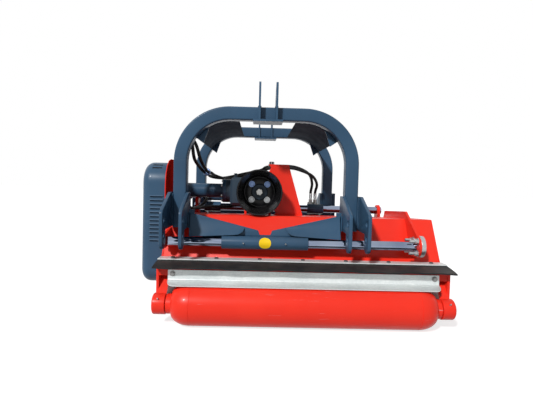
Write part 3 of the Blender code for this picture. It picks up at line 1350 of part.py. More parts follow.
def gearbox_case():
    """The hollow cast case with its front boss, output flange, side cover and breather."""
    front = case_front()
    rear = front + GEARBOX_DEPTH
    low, high = GEARBOX_HEIGHT - GEARBOX_TALL / 2, GEARBOX_HEIGHT + GEARBOX_TALL / 2
    left, right = GEARBOX_X - GEARBOX_LEFT, GEARBOX_X + GEARBOX_RIGHT
    case = soften(box("gearbox_case", (left, right), (front, rear), (low, high), SLATE), GEARBOX_EDGE, 1)
    wall = GEARBOX_WALL
    room = box("case_room", (left + wall, right - wall), (front + wall, rear - wall),
               (low + wall, high - wall))
    boss = rod("front_boss", "Y", (GEARBOX_X, front, GEARBOX_HEIGHT), -FRONT_BOSS_LENGTH, wall / 2,
               FRONT_BOSS_RADIUS, sides=16)
    flange = rod("case_flange", "X", (left, SHAFT_Y, GEARBOX_HEIGHT), -CASE_FLANGE_THICKNESS, wall / 2,
                 OUTPUT_FLANGE_RADIUS, sides=16)
    cover = rod("side_cover", "X", (right, SHAFT_Y, GEARBOX_HEIGHT), -wall / 2, SIDE_COVER_THICKNESS,
                SIDE_COVER_RADIUS, sides=16)
    breather = rod("breather", "Z", (left + 2 * wall + BREATHER_RADIUS, front + 2 * wall + BREATHER_RADIUS,
                   high), -wall / 2, BREATHER_HEIGHT, BREATHER_RADIUS, sides=8)
    input_bore = rod("input_bore", "Y", (GEARBOX_X, front, GEARBOX_HEIGHT), -2 * FRONT_BOSS_LENGTH,
                     2 * wall, clearing(INPUT_SHAFT_RADIUS + RUNNING_GAP, 12), sides=12)
    output_bore = rod("output_bore", "X", (left, SHAFT_Y, GEARBOX_HEIGHT), -2 * CASE_FLANGE_THICKNESS,
                      2 * wall, clearing(CROSS_SHAFT_RADIUS + RUNNING_GAP, 12), sides=12)
    return join(cut(join(case, boss, flange, cover, breather), room, input_bore, output_bore), tie_bolt())


def output_tube():
    """The tube round the cross shaft, with a flange at the gearbox and one at the belt plate."""
    right = GEARBOX_X - GEARBOX_LEFT - CASE_FLANGE_THICKNESS - GAP
    bore = OUTPUT_TUBE_RADIUS - OUTPUT_TUBE_WALL
    profile = [
        (LEFT_FACE, bore), (LEFT_FACE, OUTPUT_FLANGE_RADIUS),
        (LEFT_FACE + OUTPUT_FLANGE_THICKNESS / 2, OUTPUT_FLANGE_RADIUS),
        (LEFT_FACE + OUTPUT_FLANGE_THICKNESS / 2, OUTPUT_TUBE_RADIUS),
        (right - OUTPUT_FLANGE_THICKNESS, OUTPUT_TUBE_RADIUS),
        (right - OUTPUT_FLANGE_THICKNESS, OUTPUT_FLANGE_RADIUS), (right, OUTPUT_FLANGE_RADIUS), (right, bore),
    ]
    item = turned("output_tube", "X", (0.0, SHAFT_Y, GEARBOX_HEIGHT), profile, SLATE, sides=16, ring=True)
    return smooth_turned(item)


def gearbox_base():
    """The pedestal on the deck: two walls that follow the deck, under a top plate."""
    front = case_front() + GEARBOX_EDGE
    rear = case_front() + GEARBOX_DEPTH - GEARBOX_EDGE
    top = GEARBOX_HEIGHT - GEARBOX_TALL / 2 - GAP
    lift = 2 * GAP
    outline = [(front, deck_height(front) + lift), (rear, deck_height(rear) + lift), (rear, top),
               (front, top)]
    left, right = GEARBOX_X - GEARBOX_LEFT / 2, GEARBOX_X + GEARBOX_RIGHT - GEARBOX_EDGE
    base = plate("gearbox_base", "X", left + PEDESTAL_WALL / 2, outline, PEDESTAL_WALL, RED)
    wall = plate("base_wall", "X", right - PEDESTAL_WALL / 2, outline, PEDESTAL_WALL)
    cap = box("base_cap", (left, right), (front, rear), (top - PEDESTAL_WALL, top))
    return join(base, wall, cap)


def gearbox_tower():
    """The tower plate on the deck, hollowed round the cup, with a rib and a tab for the tie bolt."""
    rear = case_front() - TOWER_STANDOFF
    y = rear - TOWER_THICKNESS / 2
    centre = (GEARBOX_X, GEARBOX_HEIGHT)
    foot = deck_height(rear) + 2 * GAP
    rise = TOWER_TOP - GEARBOX_HEIGHT
    start = math.atan2(rise, TOWER_TOP_LEFT)
    radius = TOWER_ARC_RADIUS
    below = math.asin((foot - GEARBOX_HEIGHT) / radius)
    hollow = arc(centre, radius, below, start - math.radians(6), 8)
    outline = [*hollow, (GEARBOX_X + TOWER_TOP_LEFT, TOWER_TOP), (GEARBOX_X + TOWER_TOP_RIGHT, TOWER_TOP),
               (GEARBOX_X + TOWER_FOOT_RIGHT, foot)]
    tower = plate("gearbox_tower", "Y", y, outline, TOWER_THICKNESS, RED)
    rib_x = GEARBOX_X + (TOWER_TOP_RIGHT + TOWER_ARC_RADIUS) / 2
    depth = TOWER_TAB
    rib_outline = [(y, foot), (rear + depth, deck_height(rear + depth) + 2 * GAP),
                   (rear + depth / 2, TOWER_TOP - TOWER_TAB), (y, TOWER_TOP - TOWER_TAB / 2)]
    rib = plate("tower_rib", "X", rib_x, rib_outline, TOWER_THICKNESS)
    tab = box("tower_tab", (GEARBOX_X + TOWER_TOP_LEFT, GEARBOX_X + TOWER_TOP_LEFT + TOWER_TAB),
              (y, rear + depth), (TOWER_TOP - TOWER_THICKNESS, TOWER_TOP))
    bolt = tie_bolt_place()
    hole = rod("tie_bolt_hole", "Z", (*bolt, TOWER_TOP), -TOWER_TAB, TOWER_TAB,
               clearing(BREATHER_RADIUS + BOLT_CLEARANCE, 8), sides=8)
    return cut(join(tower, rib, tab), hole)


def tie_bolt_place():
    """Where the tie bolt stands on the gearbox."""
    return (GEARBOX_X + TOWER_TOP_LEFT + TOWER_TAB / 3, case_front() + TOWER_TAB / 2)


def tie_bolt():
    """The bolt between the gearbox and the tower's tab, with its nuts."""
    low = GEARBOX_HEIGHT + GEARBOX_TALL / 2 - GEARBOX_WALL / 2
    shank, nut = BREATHER_RADIUS, BREATHER_RADIUS * 1.6
    under, over = TOWER_TOP - TOWER_THICKNESS - GAP, TOWER_TOP + GAP
    profile = [(low, 0.0), (low, shank), (under - nut, shank), (under - nut, nut), (under, nut),
               (under, shank), (over, shank), (over, nut), (over + nut, nut), (over + nut, 0.0)]
    return turned("tie_bolt", "Z", (*tie_bolt_place(), 0.0), profile, sides=6)


def cup_base_y():
    """The back of the cup's base along Y."""
    return case_front() - GAP


def pto_guard():
    """The ribbed cup round the input shaft, open to the front."""
    back = cup_base_y()
    rim = back - CUP_DEPTH
    outer = [(rim, CUP_RIM_RADIUS + CUP_RIM_BEAD), (rim + 2 * CUP_WALL, CUP_RIM_RADIUS + CUP_RIM_BEAD)]
    run = (CUP_DEPTH - 2 * CUP_WALL) / (2 * CUP_RIB_COUNT + 1)
    for i in range(2 * CUP_RIB_COUNT + 1):
        along = rim + 2 * CUP_WALL + i * run
        share = (along - rim) / CUP_DEPTH
        radius = CUP_RIM_RADIUS + share * (CUP_BASE_RADIUS - CUP_RIM_RADIUS)
        if i % 2 == 1:
            outer += [(along, radius + CUP_RIB_DEPTH), (along + run, radius + CUP_RIB_DEPTH)]
        else:
            outer += [(along + run * 0.05, radius), (along + run * 0.95, radius)]
    outer.append((back, CUP_BASE_RADIUS - CUP_WALL))
    hub = clearing(FRONT_BOSS_RADIUS + GAP, 18)
    inner = [(back, hub), (back - CUP_WALL, hub), (back - CUP_WALL, CUP_BASE_RADIUS - 2 * CUP_WALL),
             (rim, CUP_RIM_RADIUS - CUP_WALL)]
    item = turned("pto_guard", "Y", (GEARBOX_X, 0.0, GEARBOX_HEIGHT), [*outer, *inner], BLACK_PLASTIC,
                  sides=18, ring=True)
    return smooth_turned(item)


def guard_clamp():
    """The ring with four bolts that clamps the cup on the gearbox."""
    back = cup_base_y() - CUP_WALL - GAP
    ring = tube("guard_clamp", "Y", (GEARBOX_X, 0.0, GEARBOX_HEIGHT), back - CUP_RING_THICKNESS, back,
                CUP_RING_RADIUS, FRONT_BOSS_RADIUS + 2 * GAP, STEEL, sides=16)
    half = CUP_BOLT_SPACING / 2
    heads = []
    for x in (-half, half):
        for z in (-half, half):
            heads.append(rod("head", "Y", (GEARBOX_X + x, back, GEARBOX_HEIGHT + z),
                             -CUP_RING_THICKNESS - CUP_BOLT_HEIGHT, -CUP_RING_THICKNESS / 2,
                             CUP_BOLT_RADIUS, sides=6))
    return join(ring, merged("clamp_heads", heads))


def input_shaft():
    """The input shaft, from its free end in the cup to the crown gear's back."""
    low = at_rotor(-INPUT_SHAFT_REACH) - FRONT_BOSS_LENGTH
    high = SHAFT_Y - PINION_RADIUS
    item = rod("input_shaft", "Y", (GEARBOX_X, 0.0, GEARBOX_HEIGHT), low, high, INPUT_SHAFT_RADIUS, STEEL,
               sides=12)
    return join(smooth_turned(item), crown_gear())


def crown_gear():
    """The bevel gear on the input shaft, as its pitch cone with a hub."""
    face = SHAFT_Y - PINION_RADIUS - RUNNING_GAP
    slope = PINION_RADIUS / CROWN_RADIUS
    profile = [(face - GEAR_FACE * 0.8, INPUT_SHAFT_RADIUS * 0.9),
               (face - GEAR_FACE * 0.8, CROWN_RADIUS * 0.6),
               (face - GEAR_FACE * 0.4, CROWN_RADIUS), (face, CROWN_RADIUS),
               (face + GEAR_FACE * slope, CROWN_RADIUS - GEAR_FACE), (face - GEAR_FACE * 0.2,
               CROWN_RADIUS - GEAR_FACE * 1.2), (face - GEAR_FACE * 0.2, INPUT_SHAFT_RADIUS * 0.9)]
    return turned("crown_gear", "Y", (GEARBOX_X, 0.0, GEARBOX_HEIGHT), profile, sides=16, ring=True)


def bevel_pinion():
    """The small bevel gear on the cross shaft's end, as its pitch cone with a hub."""
    face = GEARBOX_X - CROWN_RADIUS - RUNNING_GAP
    slope = CROWN_RADIUS / PINION_RADIUS
    narrow = PINION_RADIUS - (CROSS_SHAFT_RADIUS + GAP) * 1.15
    profile = [(face - GEAR_FACE, CROSS_SHAFT_RADIUS * 0.9), (face - GEAR_FACE, PINION_RADIUS),
               (face, PINION_RADIUS), (face + narrow * slope, PINION_RADIUS - narrow),
               (face + narrow * slope, CROSS_SHAFT_RADIUS * 0.9)]
    return turned("bevel_pinion", "X", (0.0, SHAFT_Y, GEARBOX_HEIGHT), profile, sides=12, ring=True)


def cross_shaft():
    """The shaft from the bevel pinion through the output tube to the upper pulley."""
    low = PULLEY_X - PULLEY_WIDTH / 2 - GAP
    item = rod("cross_shaft", "X", (0.0, SHAFT_Y, GEARBOX_HEIGHT), low, GEARBOX_X - CROWN_RADIUS,
               CROSS_SHAFT_RADIUS, STEEL, sides=12)
    return join(smooth_turned(item), bevel_pinion())


def pulley(name, centre, radius, bore, sides):
    """A grooved pulley, bored for its shaft."""
    half = PULLEY_WIDTH / 2
    pitch = PULLEY_WIDTH / (PULLEY_GROOVES + 0.5)
    bore = clearing(bore, sides)
    profile = [(-half, bore), (-half, radius)]
    for i in range(PULLEY_GROOVES):
        start = -half + pitch * 0.25 + i * pitch
        profile += [(start, radius), (start + pitch / 2, radius - PULLEY_GROOVE_DEPTH),
                    (start + pitch * 0.98, radius)]
    profile += [(half, radius), (half, bore)]
    return turned(name, "X", (PULLEY_X, *centre), profile, CAST_IRON, sides=sides, ring=True)


def belt_loop(extra):
    """The loop round both pulleys in the YZ plane, at a distance outside their rims."""
    low = Vector((ROTOR_Y, ROTOR_HEIGHT))
    high = Vector((SHAFT_Y, GEARBOX_HEIGHT))
    across = high - low
    heading = math.atan2(across.y, across.x)
    lean = math.asin((GEARBOX_PULLEY_RADIUS - ROTOR_PULLEY_RADIUS) / across.length)
    turn = math.pi / 2 + lean
    steps = 10
    small = (ROTOR_PULLEY_RADIUS + extra) / math.cos((math.pi - turn) / steps)
    large = (GEARBOX_PULLEY_RADIUS + extra) / math.cos(turn / steps)
    lower = arc(low, small, heading + turn, heading + 2 * math.pi - turn, steps)
    upper = arc(high, large, heading - turn, heading + turn, steps)
    return [*lower, *upper]


def drive_belt():
    """The banded belt round the two pulleys."""
    clearance = PULLEY_WIDTH / 100 + GAP
    return plate("drive_belt", "X", PULLEY_X, belt_loop(BELT_THICKNESS), BELT_WIDTH, BLACK_RUBBER,
                 [belt_loop(clearance)])


def guard_outline(inset):
    """The belt guard's outline in the YZ plane, drawn in by an inset."""
    near, far = at_rotor(GUARD_NEAR) + inset, at_rotor(GUARD_FAR) - inset
    low, high = GUARD_BOTTOM + inset, GUARD_TOP - inset
    top, bottom = GUARD_TOP_RADIUS - inset, GUARD_BOTTOM_RADIUS - inset
    return rounded([(near, low, bottom), (far, low, bottom), (far, high, top), (near, high, top)], 4)


def belt_back_plate():
    """The red plate between the end plate and the belt guard, with both shafts' holes."""
    holes = [circle((ROTOR_Y, ROTOR_HEIGHT), STUB_RADIUS + SHAFT_HOLE_CLEARANCE, 12),
             circle((SHAFT_Y, GEARBOX_HEIGHT), CROSS_SHAFT_RADIUS + SHAFT_HOLE_CLEARANCE, 12)]
    item = plate("belt_back_plate", "X", BELT_PLATE_X, guard_outline(-BELT_PLATE_MARGIN),
                 BELT_PLATE_THICKNESS, RED, holes)
    return join(item, cylinder_anchor())


def guard_body(name, inset, right, finish=None):
    """The guard's body with its rounded outer edge, drawn in by an inset, as far as one place."""
    rounding = GUARD_EDGE_RADIUS - inset
    rings = []
    for i in range(GUARD_EDGE_STEPS + 1):
        turn = math.pi / 2 * i / GUARD_EDGE_STEPS
        x = GUARD_FACE_X + inset + rounding * (1 - math.cos(turn))
        drawn = inset + rounding * (1 - math.sin(turn))
        rings.append([(x, y, z) for y, z in guard_outline(drawn)])
    rings.append([(right, y, z) for y, z in guard_outline(inset)])
    return lofted(name, rings, finish)


def belt_guard():
    """The hollow guard with a rounded outer edge, open at the back, and its louvres."""
    guard = guard_body("belt_guard", 0.0, GUARD_BACK_X, SLATE)
    room = guard_body("guard_room", GUARD_WALL, GUARD_BACK_X + GUARD_DEPTH)
    return cut(guard, room, louvres())


def louvres():
    """The cutters of the near face's louvres and the two at the top."""
    left = GUARD_FACE_X + GUARD_EDGE_RADIUS + LOUVRE_INSET
    x = (left, left + LOUVRE_WIDTH)
    slots = []
    near = at_rotor(GUARD_NEAR)
    for i in range(LOUVRE_COUNT):
        top = LOUVRE_TOP - i * LOUVRE_PITCH
        slots.append(box("slot", x, (near - GUARD_WALL, near + GUARD_WALL * 3), (top - LOUVRE_HEIGHT, top)))
    for i in range(2):
        top = GUARD_TOP - LOUVRE_HEIGHT * 2 - i * LOUVRE_HEIGHT * 1.6
        slots.append(box("slot", x, (near, near + GUARD_TOP_RADIUS * 0.6), (top - LOUVRE_HEIGHT, top)))
    return merged("louvres", slots)


def rotor_span():
    """The rotor tube's ends along X."""
    return LEFT_INSIDE + ROTOR_END_CLEARANCE, RIGHT_INSIDE - ROTOR_END_CLEARANCE


def flail_places():
    """Each flail's place along X and its pivot's angle round the rotor."""
    low, high = rotor_span()
    low += FLAIL_END_INSET
    high -= FLAIL_END_INSET
    pitch = (high - low) / (FLAIL_COUNT - 1)
    return [(low + i * pitch, math.radians(45 + 90 * (i % 4))) for i in range(FLAIL_COUNT)]


def flail_pivot(angle):
    """A flail's pivot in the YZ plane."""
    return (ROTOR_Y + FLAIL_PIVOT_RADIUS * math.cos(angle),
            ROTOR_HEIGHT + FLAIL_PIVOT_RADIUS * math.sin(angle))


def rotor():
    """The hollow rotor with bored stub shafts, and its flail lugs and pins."""
    low, high = rotor_span()
    disc = ROTOR_TUBE_WALL * 1.5
    left = PULLEY_X - PULLEY_WIDTH / 2 - GAP
    right = RIGHT_FACE + BEARING_REACH - ROTOR_TUBE_WALL
    hollow = ROTOR_TUBE_RADIUS - ROTOR_TUBE_WALL
    profile = [
        (left, STUB_RADIUS), (low, STUB_RADIUS), (low, ROTOR_TUBE_RADIUS), (high, ROTOR_TUBE_RADIUS),
        (high, STUB_RADIUS), (right, STUB_RADIUS), (right, STUB_BORE_RADIUS),
        (high - disc, STUB_BORE_RADIUS), (high - disc, hollow), (low + disc, hollow),
        (low + disc, STUB_BORE_RADIUS), (left, STUB_BORE_RADIUS),
    ]
    item = turned("rotor", "X", (0.0, ROTOR_Y, ROTOR_HEIGHT), profile, RED, sides=12, ring=True)
    lugs = []
    pins = []
    side = FLAIL_EYE_WIDTH / 2 + RUNNING_GAP + LUG_THICKNESS / 2
    for x, angle in flail_places():
        along = Vector((math.cos(angle), math.sin(angle)))
        across = Vector((-along.y, along.x)) * LUG_RADIUS
        middle = Vector((ROTOR_Y, ROTOR_HEIGHT))
        base = middle + along * (ROTOR_TUBE_RADIUS - ROTOR_TUBE_WALL / 2)
        crown = arc(flail_pivot(angle), LUG_RADIUS * 0.9, angle + math.pi / 2, angle - math.pi / 2, 2)
        outline = [tuple(base - across), tuple(base + across), *crown]
        for sign in (-1, 1):
            lugs.append(plate("lug", "X", x + sign * side, outline, LUG_THICKNESS))
        reach = side - LUG_THICKNESS / 4
        pins.append(rod("pin", "X", (x, *flail_pivot(angle)), -reach, reach, FLAIL_PIN_RADIUS, sides=6))
    return join(smooth_turned(item), merged("flail_lugs", lugs), merged("flail_pins", pins))


def flail(name, x, angle):
    """A hanging hammer flail: an eye, a neck and a wide head, bored for its pin."""
    y, z = flail_pivot(angle)
    eye = FLAIL_EYE_WIDTH / 2
    head = FLAIL_TIP_WIDTH / 2
    tip = z - FLAIL_LENGTH
    neck = z - FLAIL_NECK_LENGTH
    shoulder = neck - (head - eye) / 3
    outline = [(x - eye, z), (x - eye, neck), (x - head, shoulder), (x - head, tip),
               (x + head, tip), (x + head, shoulder), (x + eye, neck), (x + eye, z)]
    blade = plate(name, "Y", y, outline, FLAIL_THICKNESS, CAST_IRON)
    ring = rod(name + "_eye", "X", (x, y, z), -eye, eye, FLAIL_EYE_RADIUS, sides=8)
    bore = rod(name + "_bore", "X", (x, y, z), -2 * eye, 2 * eye,
               clearing(FLAIL_PIN_RADIUS + FLAIL_PLAY, 6), sides=6)
    return cut(join(blade, ring), bore)


def rotor_bearing(name, sign):
    """A flanged bearing outside the end wall: bored through on the left, blind on the right."""
    bore = clearing(STUB_RADIUS + RUNNING_GAP, 12)
    face = GUARD_BACK_X - GAP if sign < 0 else RIGHT_FACE + GAP
    reach = BEARING_REACH
    flange = reach / 3
    body = BEARING_RADIUS * 0.82
    end = reach - ROTOR_TUBE_WALL + 2 * RUNNING_GAP
    if sign < 0:
        profile = [(-reach, bore), (-reach, body), (-flange, body), (-flange, BEARING_RADIUS),
                   (0.0, BEARING_RADIUS), (0.0, bore)]
    else:
        profile = [(end, 0.0), (end, bore), (0.0, bore), (0.0, BEARING_RADIUS), (flange, BEARING_RADIUS),
                   (flange, body), (reach, body), (reach, 0.0)]
    item = turned(name, "X", (face, ROTOR_Y, ROTOR_HEIGHT), profile, CAST_IRON, sides=12, ring=sign < 0)
    return smooth_turned(item)


def cylinder_ports():
    """The two ports' places along X, on the barrel's near side."""
    return barrel_left() + PORT_INSET, barrel_left() + CYLINDER_BARREL_LENGTH - PORT_INSET


def coupling_y():
    """The parked couplings' middle along Y."""
    return hoop_y(1) - CROSS_TUBE / 2 - GAP - RACK_THICKNESS - COUPLING_RADIUS + COUPLING_SINK


def hose_a():
    """The first hose: from the barrel's gland end, behind the near leg, to the left coupling."""
    port = (cylinder_ports()[0] - HEAD_X, FAR_BAR_Y - HEAD_Y - CYLINDER_RADIUS - PORT_LENGTH - HOSE_END_GAP)
    line = [
        (*port, CYLINDER_HEIGHT), (port[0], port[1] - 0.022, CYLINDER_HEIGHT),
        (port[0] - 0.010, port[1] - 0.058, 0.535), (-0.392, 0.050, 0.510),
        (-0.415, -0.080, 0.507), (-0.428, -0.200, 0.518), (-0.440, -0.275, 0.575), (-0.446, -0.293, 0.680),
        (-0.445, -0.295, 0.800), (-0.434, -0.295, 0.862), (-0.406, -0.295, 0.887), (-0.384, -0.292, 0.848),
        (-0.378, -0.237, 0.775), (-0.358, -0.092, 0.725), (-0.338, -0.012, 0.705), (-0.319, 0.067, 0.690),
        (-0.262, 0.127, 0.685), (-0.197, 0.157, 0.698), (-0.130, 0.157, 0.715), (-0.027, 0.157, 0.740),
        (0.018, 0.157, 0.763), (0.144, 0.157, 0.770), (0.217, 0.157, 0.757), (0.281, 0.177, 0.722),
        (COUPLING_A_X, 0.262, 0.666), (COUPLING_A_X, coupling_y() - HEAD_Y, 0.610),
        (COUPLING_A_X, coupling_y() - HEAD_Y, COUPLING_TOP + HOSE_END_GAP),
    ]
    return headstock_hose("hose_a", line)


def hose_b():
    """The second hose: from the barrel's closed end, beside the first, to the right coupling."""
    port = (cylinder_ports()[1] - HEAD_X, FAR_BAR_Y - HEAD_Y - CYLINDER_RADIUS - PORT_LENGTH - HOSE_END_GAP)
    line = [
        (*port, CYLINDER_HEIGHT), (port[0], port[1] - 0.022, CYLINDER_HEIGHT),
        (port[0] - 0.024, port[1] - 0.050, 0.535), (-0.215, 0.093, 0.512),
        (-0.300, 0.080, 0.510), (-0.362, 0.020, 0.508), (-0.391, -0.080, 0.507), (-0.406, -0.190, 0.518),
        (-0.424, -0.253, 0.575), (-0.440, -0.271, 0.680), (-0.443, -0.273, 0.800), (-0.431, -0.273, 0.862),
        (-0.400, -0.273, 0.887), (-0.368, -0.270, 0.850), (-0.347, -0.226, 0.772), (-0.332, -0.089, 0.722),
        (-0.315, -0.012, 0.711), (-0.298, 0.056, 0.697), (-0.250, 0.107, 0.683), (-0.193, 0.137, 0.688),
        (-0.126, 0.137, 0.703), (-0.023, 0.137, 0.728), (0.022, 0.137, 0.751), (0.148, 0.137, 0.758),
        (0.221, 0.137, 0.745), (0.298, 0.156, 0.712), (COUPLING_B_X, 0.250, 0.662),
        (COUPLING_B_X, coupling_y() - HEAD_Y, 0.610),
        (COUPLING_B_X, coupling_y() - HEAD_Y, COUPLING_TOP + HOSE_END_GAP),
    ]
    return headstock_hose("hose_b", line)


def headstock_hose(name, line):
    """A hose through places written from the headstock's middle."""
    return hose(name, [(HEAD_X + x, HEAD_Y + y, z) for x, y, z in line], HOSE_RADIUS, BLACK_RUBBER)


def coupling_rack():
    """The two hose couplings, parked on a plate in front of the far cross tube."""
    y = hoop_y(1) - CROSS_TUBE / 2 - GAP
    rack = box("coupling_rack", (HEAD_X + COUPLING_A_X - RACK_MARGIN, HEAD_X + COUPLING_B_X + RACK_MARGIN),
               (y - RACK_THICKNESS, y), (HITCH_SHELF, HITCH_SHELF + RACK_HEIGHT), STEEL)
    bodies = []
    waist = COUPLING_RADIUS * 0.75
    low = COUPLING_TOP - COUPLING_LENGTH
    for x in (COUPLING_A_X, COUPLING_B_X):
        profile = [(low, 0.0), (low, COUPLING_RADIUS), (low + COUPLING_LENGTH * 0.45, COUPLING_RADIUS),
                   (low + COUPLING_LENGTH * 0.5, waist), (low + COUPLING_LENGTH * 0.8, waist),
                   (low + COUPLING_LENGTH * 0.8, COUPLING_RADIUS * 0.9),
                   (COUPLING_TOP, COUPLING_RADIUS * 0.9), (COUPLING_TOP, 0.0)]
        bodies.append(turned("coupling", "Z", (HEAD_X + x, coupling_y(), 0.0), profile, sides=8))
    return join(rack, merged("couplings", bodies))


def build():
    """Make every piece, and hang the moving ones on their pivots."""
    clear_scene()
    left_x = LEFT_FACE + SIDE_THICKNESS / 2
    right_x = RIGHT_FACE - SIDE_THICKNESS / 2
    hood_shell()
    side_plate("side_plate_left", left_x)
    side_plate("side_plate_right", right_x)
    skid("skid_left", -1)
    skid("skid_right", 1)
    counter_blade()
    rubber_flap()
    flap_strip()
    intake_curtain()
    intake_strip()
    roller_arm("roller_arm_left", -1)
    roller_arm("roller_arm_right", 1)
    scraper_plate()
    scraper_rail()
    bar_bracket_left()
    bar_bracket_right()
    slide_bar_near()
    slide_bar_flange()
    far_bar_block("far_bar_block_left", -1)
    far_bar_block("far_bar_block_right", 1)
    slide_bar_far()
    cylinder_rod()
    gearbox_base()
    gearbox_tower()
    gearbox_case()
    output_tube()
    belt_back_plate()
    belt_guard()
    drive_belt()
    pto_guard()
    guard_clamp()
    rotor_bearing("rotor_bearing_left", -1)
    rotor_bearing("rotor_bearing_right", 1)

    head = pivot("headstock_pivot", (HEAD_X, HEAD_Y, CYLINDER_HEIGHT))
    for item in (hoop("hoop_near", -1), hoop("hoop_far", 1), bridge_plate("bridge_plate_left", -1),
                 bridge_plate("bridge_plate_right", 1), top_link_bracket("top_link_bracket_near", -1),
                 top_link_bracket("top_link_bracket_far", 1), top_link_pin(), carriage_near(),
                 carriage_far(), cylinder_barrel(), hose_a(), hose_b(), coupling_rack()):
        hang(item, head)

    hang(ground_roller(), pivot("roller_pivot", (HOUSING_X, ROLLER_Y, ROLLER_RADIUS)))
    turning = pivot("rotor_pivot", (HOUSING_X, ROTOR_Y, ROTOR_HEIGHT))
    hang(rotor(), turning)
    hang(pulley("rotor_pulley", (ROTOR_Y, ROTOR_HEIGHT), ROTOR_PULLEY_RADIUS, STUB_RADIUS + GAP, 16), turning)
    for i, (x, angle) in enumerate(flail_places(), 1):
        place = pivot(f"flail_{i}_pivot", (x, *flail_pivot(angle)), turning)
        hang(flail(f"flail_{i}", x, angle), place)
    upper = pivot("cross_shaft_pivot", (PULLEY_X, SHAFT_Y, GEARBOX_HEIGHT))
    hang(cross_shaft(), upper)
    hang(pulley("gearbox_pulley", (SHAFT_Y, GEARBOX_HEIGHT), GEARBOX_PULLEY_RADIUS,
                CROSS_SHAFT_RADIUS + GAP, 16), upper)
    hang(input_shaft(), pivot("input_shaft_pivot", (GEARBOX_X, SHAFT_Y, GEARBOX_HEIGHT)))


build()
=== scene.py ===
import json
import math

import bmesh
import bpy
import numpy as np
from mathutils import Matrix, Vector

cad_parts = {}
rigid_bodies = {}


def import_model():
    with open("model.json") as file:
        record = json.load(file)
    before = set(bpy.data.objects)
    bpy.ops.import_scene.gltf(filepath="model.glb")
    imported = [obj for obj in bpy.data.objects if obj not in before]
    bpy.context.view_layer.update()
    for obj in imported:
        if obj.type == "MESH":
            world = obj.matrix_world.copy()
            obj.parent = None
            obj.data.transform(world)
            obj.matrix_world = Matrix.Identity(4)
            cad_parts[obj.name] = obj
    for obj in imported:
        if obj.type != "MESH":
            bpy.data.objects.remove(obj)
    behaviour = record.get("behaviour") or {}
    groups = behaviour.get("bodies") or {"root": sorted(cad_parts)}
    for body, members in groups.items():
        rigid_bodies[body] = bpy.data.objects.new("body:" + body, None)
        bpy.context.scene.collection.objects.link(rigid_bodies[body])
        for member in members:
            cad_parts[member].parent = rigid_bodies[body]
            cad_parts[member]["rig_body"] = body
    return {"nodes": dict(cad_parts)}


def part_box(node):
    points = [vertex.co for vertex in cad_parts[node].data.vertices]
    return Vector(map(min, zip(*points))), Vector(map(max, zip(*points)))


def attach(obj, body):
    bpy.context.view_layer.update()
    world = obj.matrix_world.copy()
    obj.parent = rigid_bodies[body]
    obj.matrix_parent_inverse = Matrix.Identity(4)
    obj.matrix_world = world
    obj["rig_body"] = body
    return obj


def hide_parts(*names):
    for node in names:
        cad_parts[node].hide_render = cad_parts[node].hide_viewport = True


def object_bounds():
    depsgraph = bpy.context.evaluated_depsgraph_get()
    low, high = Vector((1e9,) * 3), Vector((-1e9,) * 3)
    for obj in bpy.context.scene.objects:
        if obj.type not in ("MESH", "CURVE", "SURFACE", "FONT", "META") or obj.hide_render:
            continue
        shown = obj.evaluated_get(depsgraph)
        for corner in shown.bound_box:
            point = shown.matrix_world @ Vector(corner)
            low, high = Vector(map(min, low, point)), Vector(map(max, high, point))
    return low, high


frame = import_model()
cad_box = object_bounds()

# The picture's width and focal length in pixels, and the camera in millimetres, metres and degrees
PICTURE_WIDTH = 533
FOCAL_PIXELS = 406.1
SENSOR_WIDTH = 36.0
CAMERA_PLACE = (-0.171, -2.3558, 0.6522)
CAMERA_PITCH = -2.19
CAMERA_YAW = -1.13
CAMERA_ROLL = 1.51
VIEW_REACH = 200.0

# Light levels and the floor
SUN_STRENGTH = 3.1
SUN_SPREAD = 5.0
SUN_DIRECTION = (0.42, 0.74, -0.60)
SKY_STRENGTH = 0.22
SKY_COLOUR = (0.93, 0.96, 1.0, 1)
WHITE = (1, 1, 1, 1)
FLOOR_REACH = 30.0
FLOOR_COLOUR = (0.42, 0.42, 0.42, 1.0)
FLOOR_ROUGHNESS = 0.9
FLOOR_GLOW = 0.74


def add_node(tree, kind, inputs=None, **settings):
    """A shader node with its settings made and its inputs either linked or set."""
    made = tree.nodes.new(kind)
    for key, value in settings.items():
        setattr(made, key, value)
    for key, value in (inputs or {}).items():
        if isinstance(value, bpy.types.NodeSocket):
            tree.links.new(value, made.inputs[key])
        else:
            made.inputs[key].default_value = value
    return made


def effect_group(name, numbers, results):
    """An empty shader group: a Vector and numbers with their defaults go in, and numbers come out."""
    group = bpy.data.node_groups.new(name, "ShaderNodeTree")
    group.interface.new_socket("Vector", in_out="INPUT", socket_type="NodeSocketVector")
    for label, value in numbers.items():
        socket = group.interface.new_socket(label, in_out="INPUT", socket_type="NodeSocketFloat")
        socket.default_value = value
    for label in results:
        group.interface.new_socket(label, in_out="OUTPUT", socket_type="NodeSocketFloat")
    return group, group.nodes.new("NodeGroupInput").outputs, group.nodes.new("NodeGroupOutput").inputs


def maths(tree, operation, first, second, clamp=False):
    """One Math node's result."""
    inputs = {0: first, 1: second}
    return add_node(tree, "ShaderNodeMath", inputs, operation=operation, use_clamp=clamp).outputs[0]


def noise(tree, vector, scale, detail=3.0, roughness=0.5):
    """A Noise node's value at a scale."""
    inputs = {"Vector": vector, "Scale": scale, "Detail": detail, "Roughness": roughness}
    return add_node(tree, "ShaderNodeTexNoise", inputs).outputs[0]


def band(tree, value, low, high):
    """A value stretched so that low becomes 0 and high becomes 1, held between the two."""
    inputs = {"Value": value, "From Min": low, "From Max": high}
    return add_node(tree, "ShaderNodeMapRange", inputs, clamp=True).outputs[0]


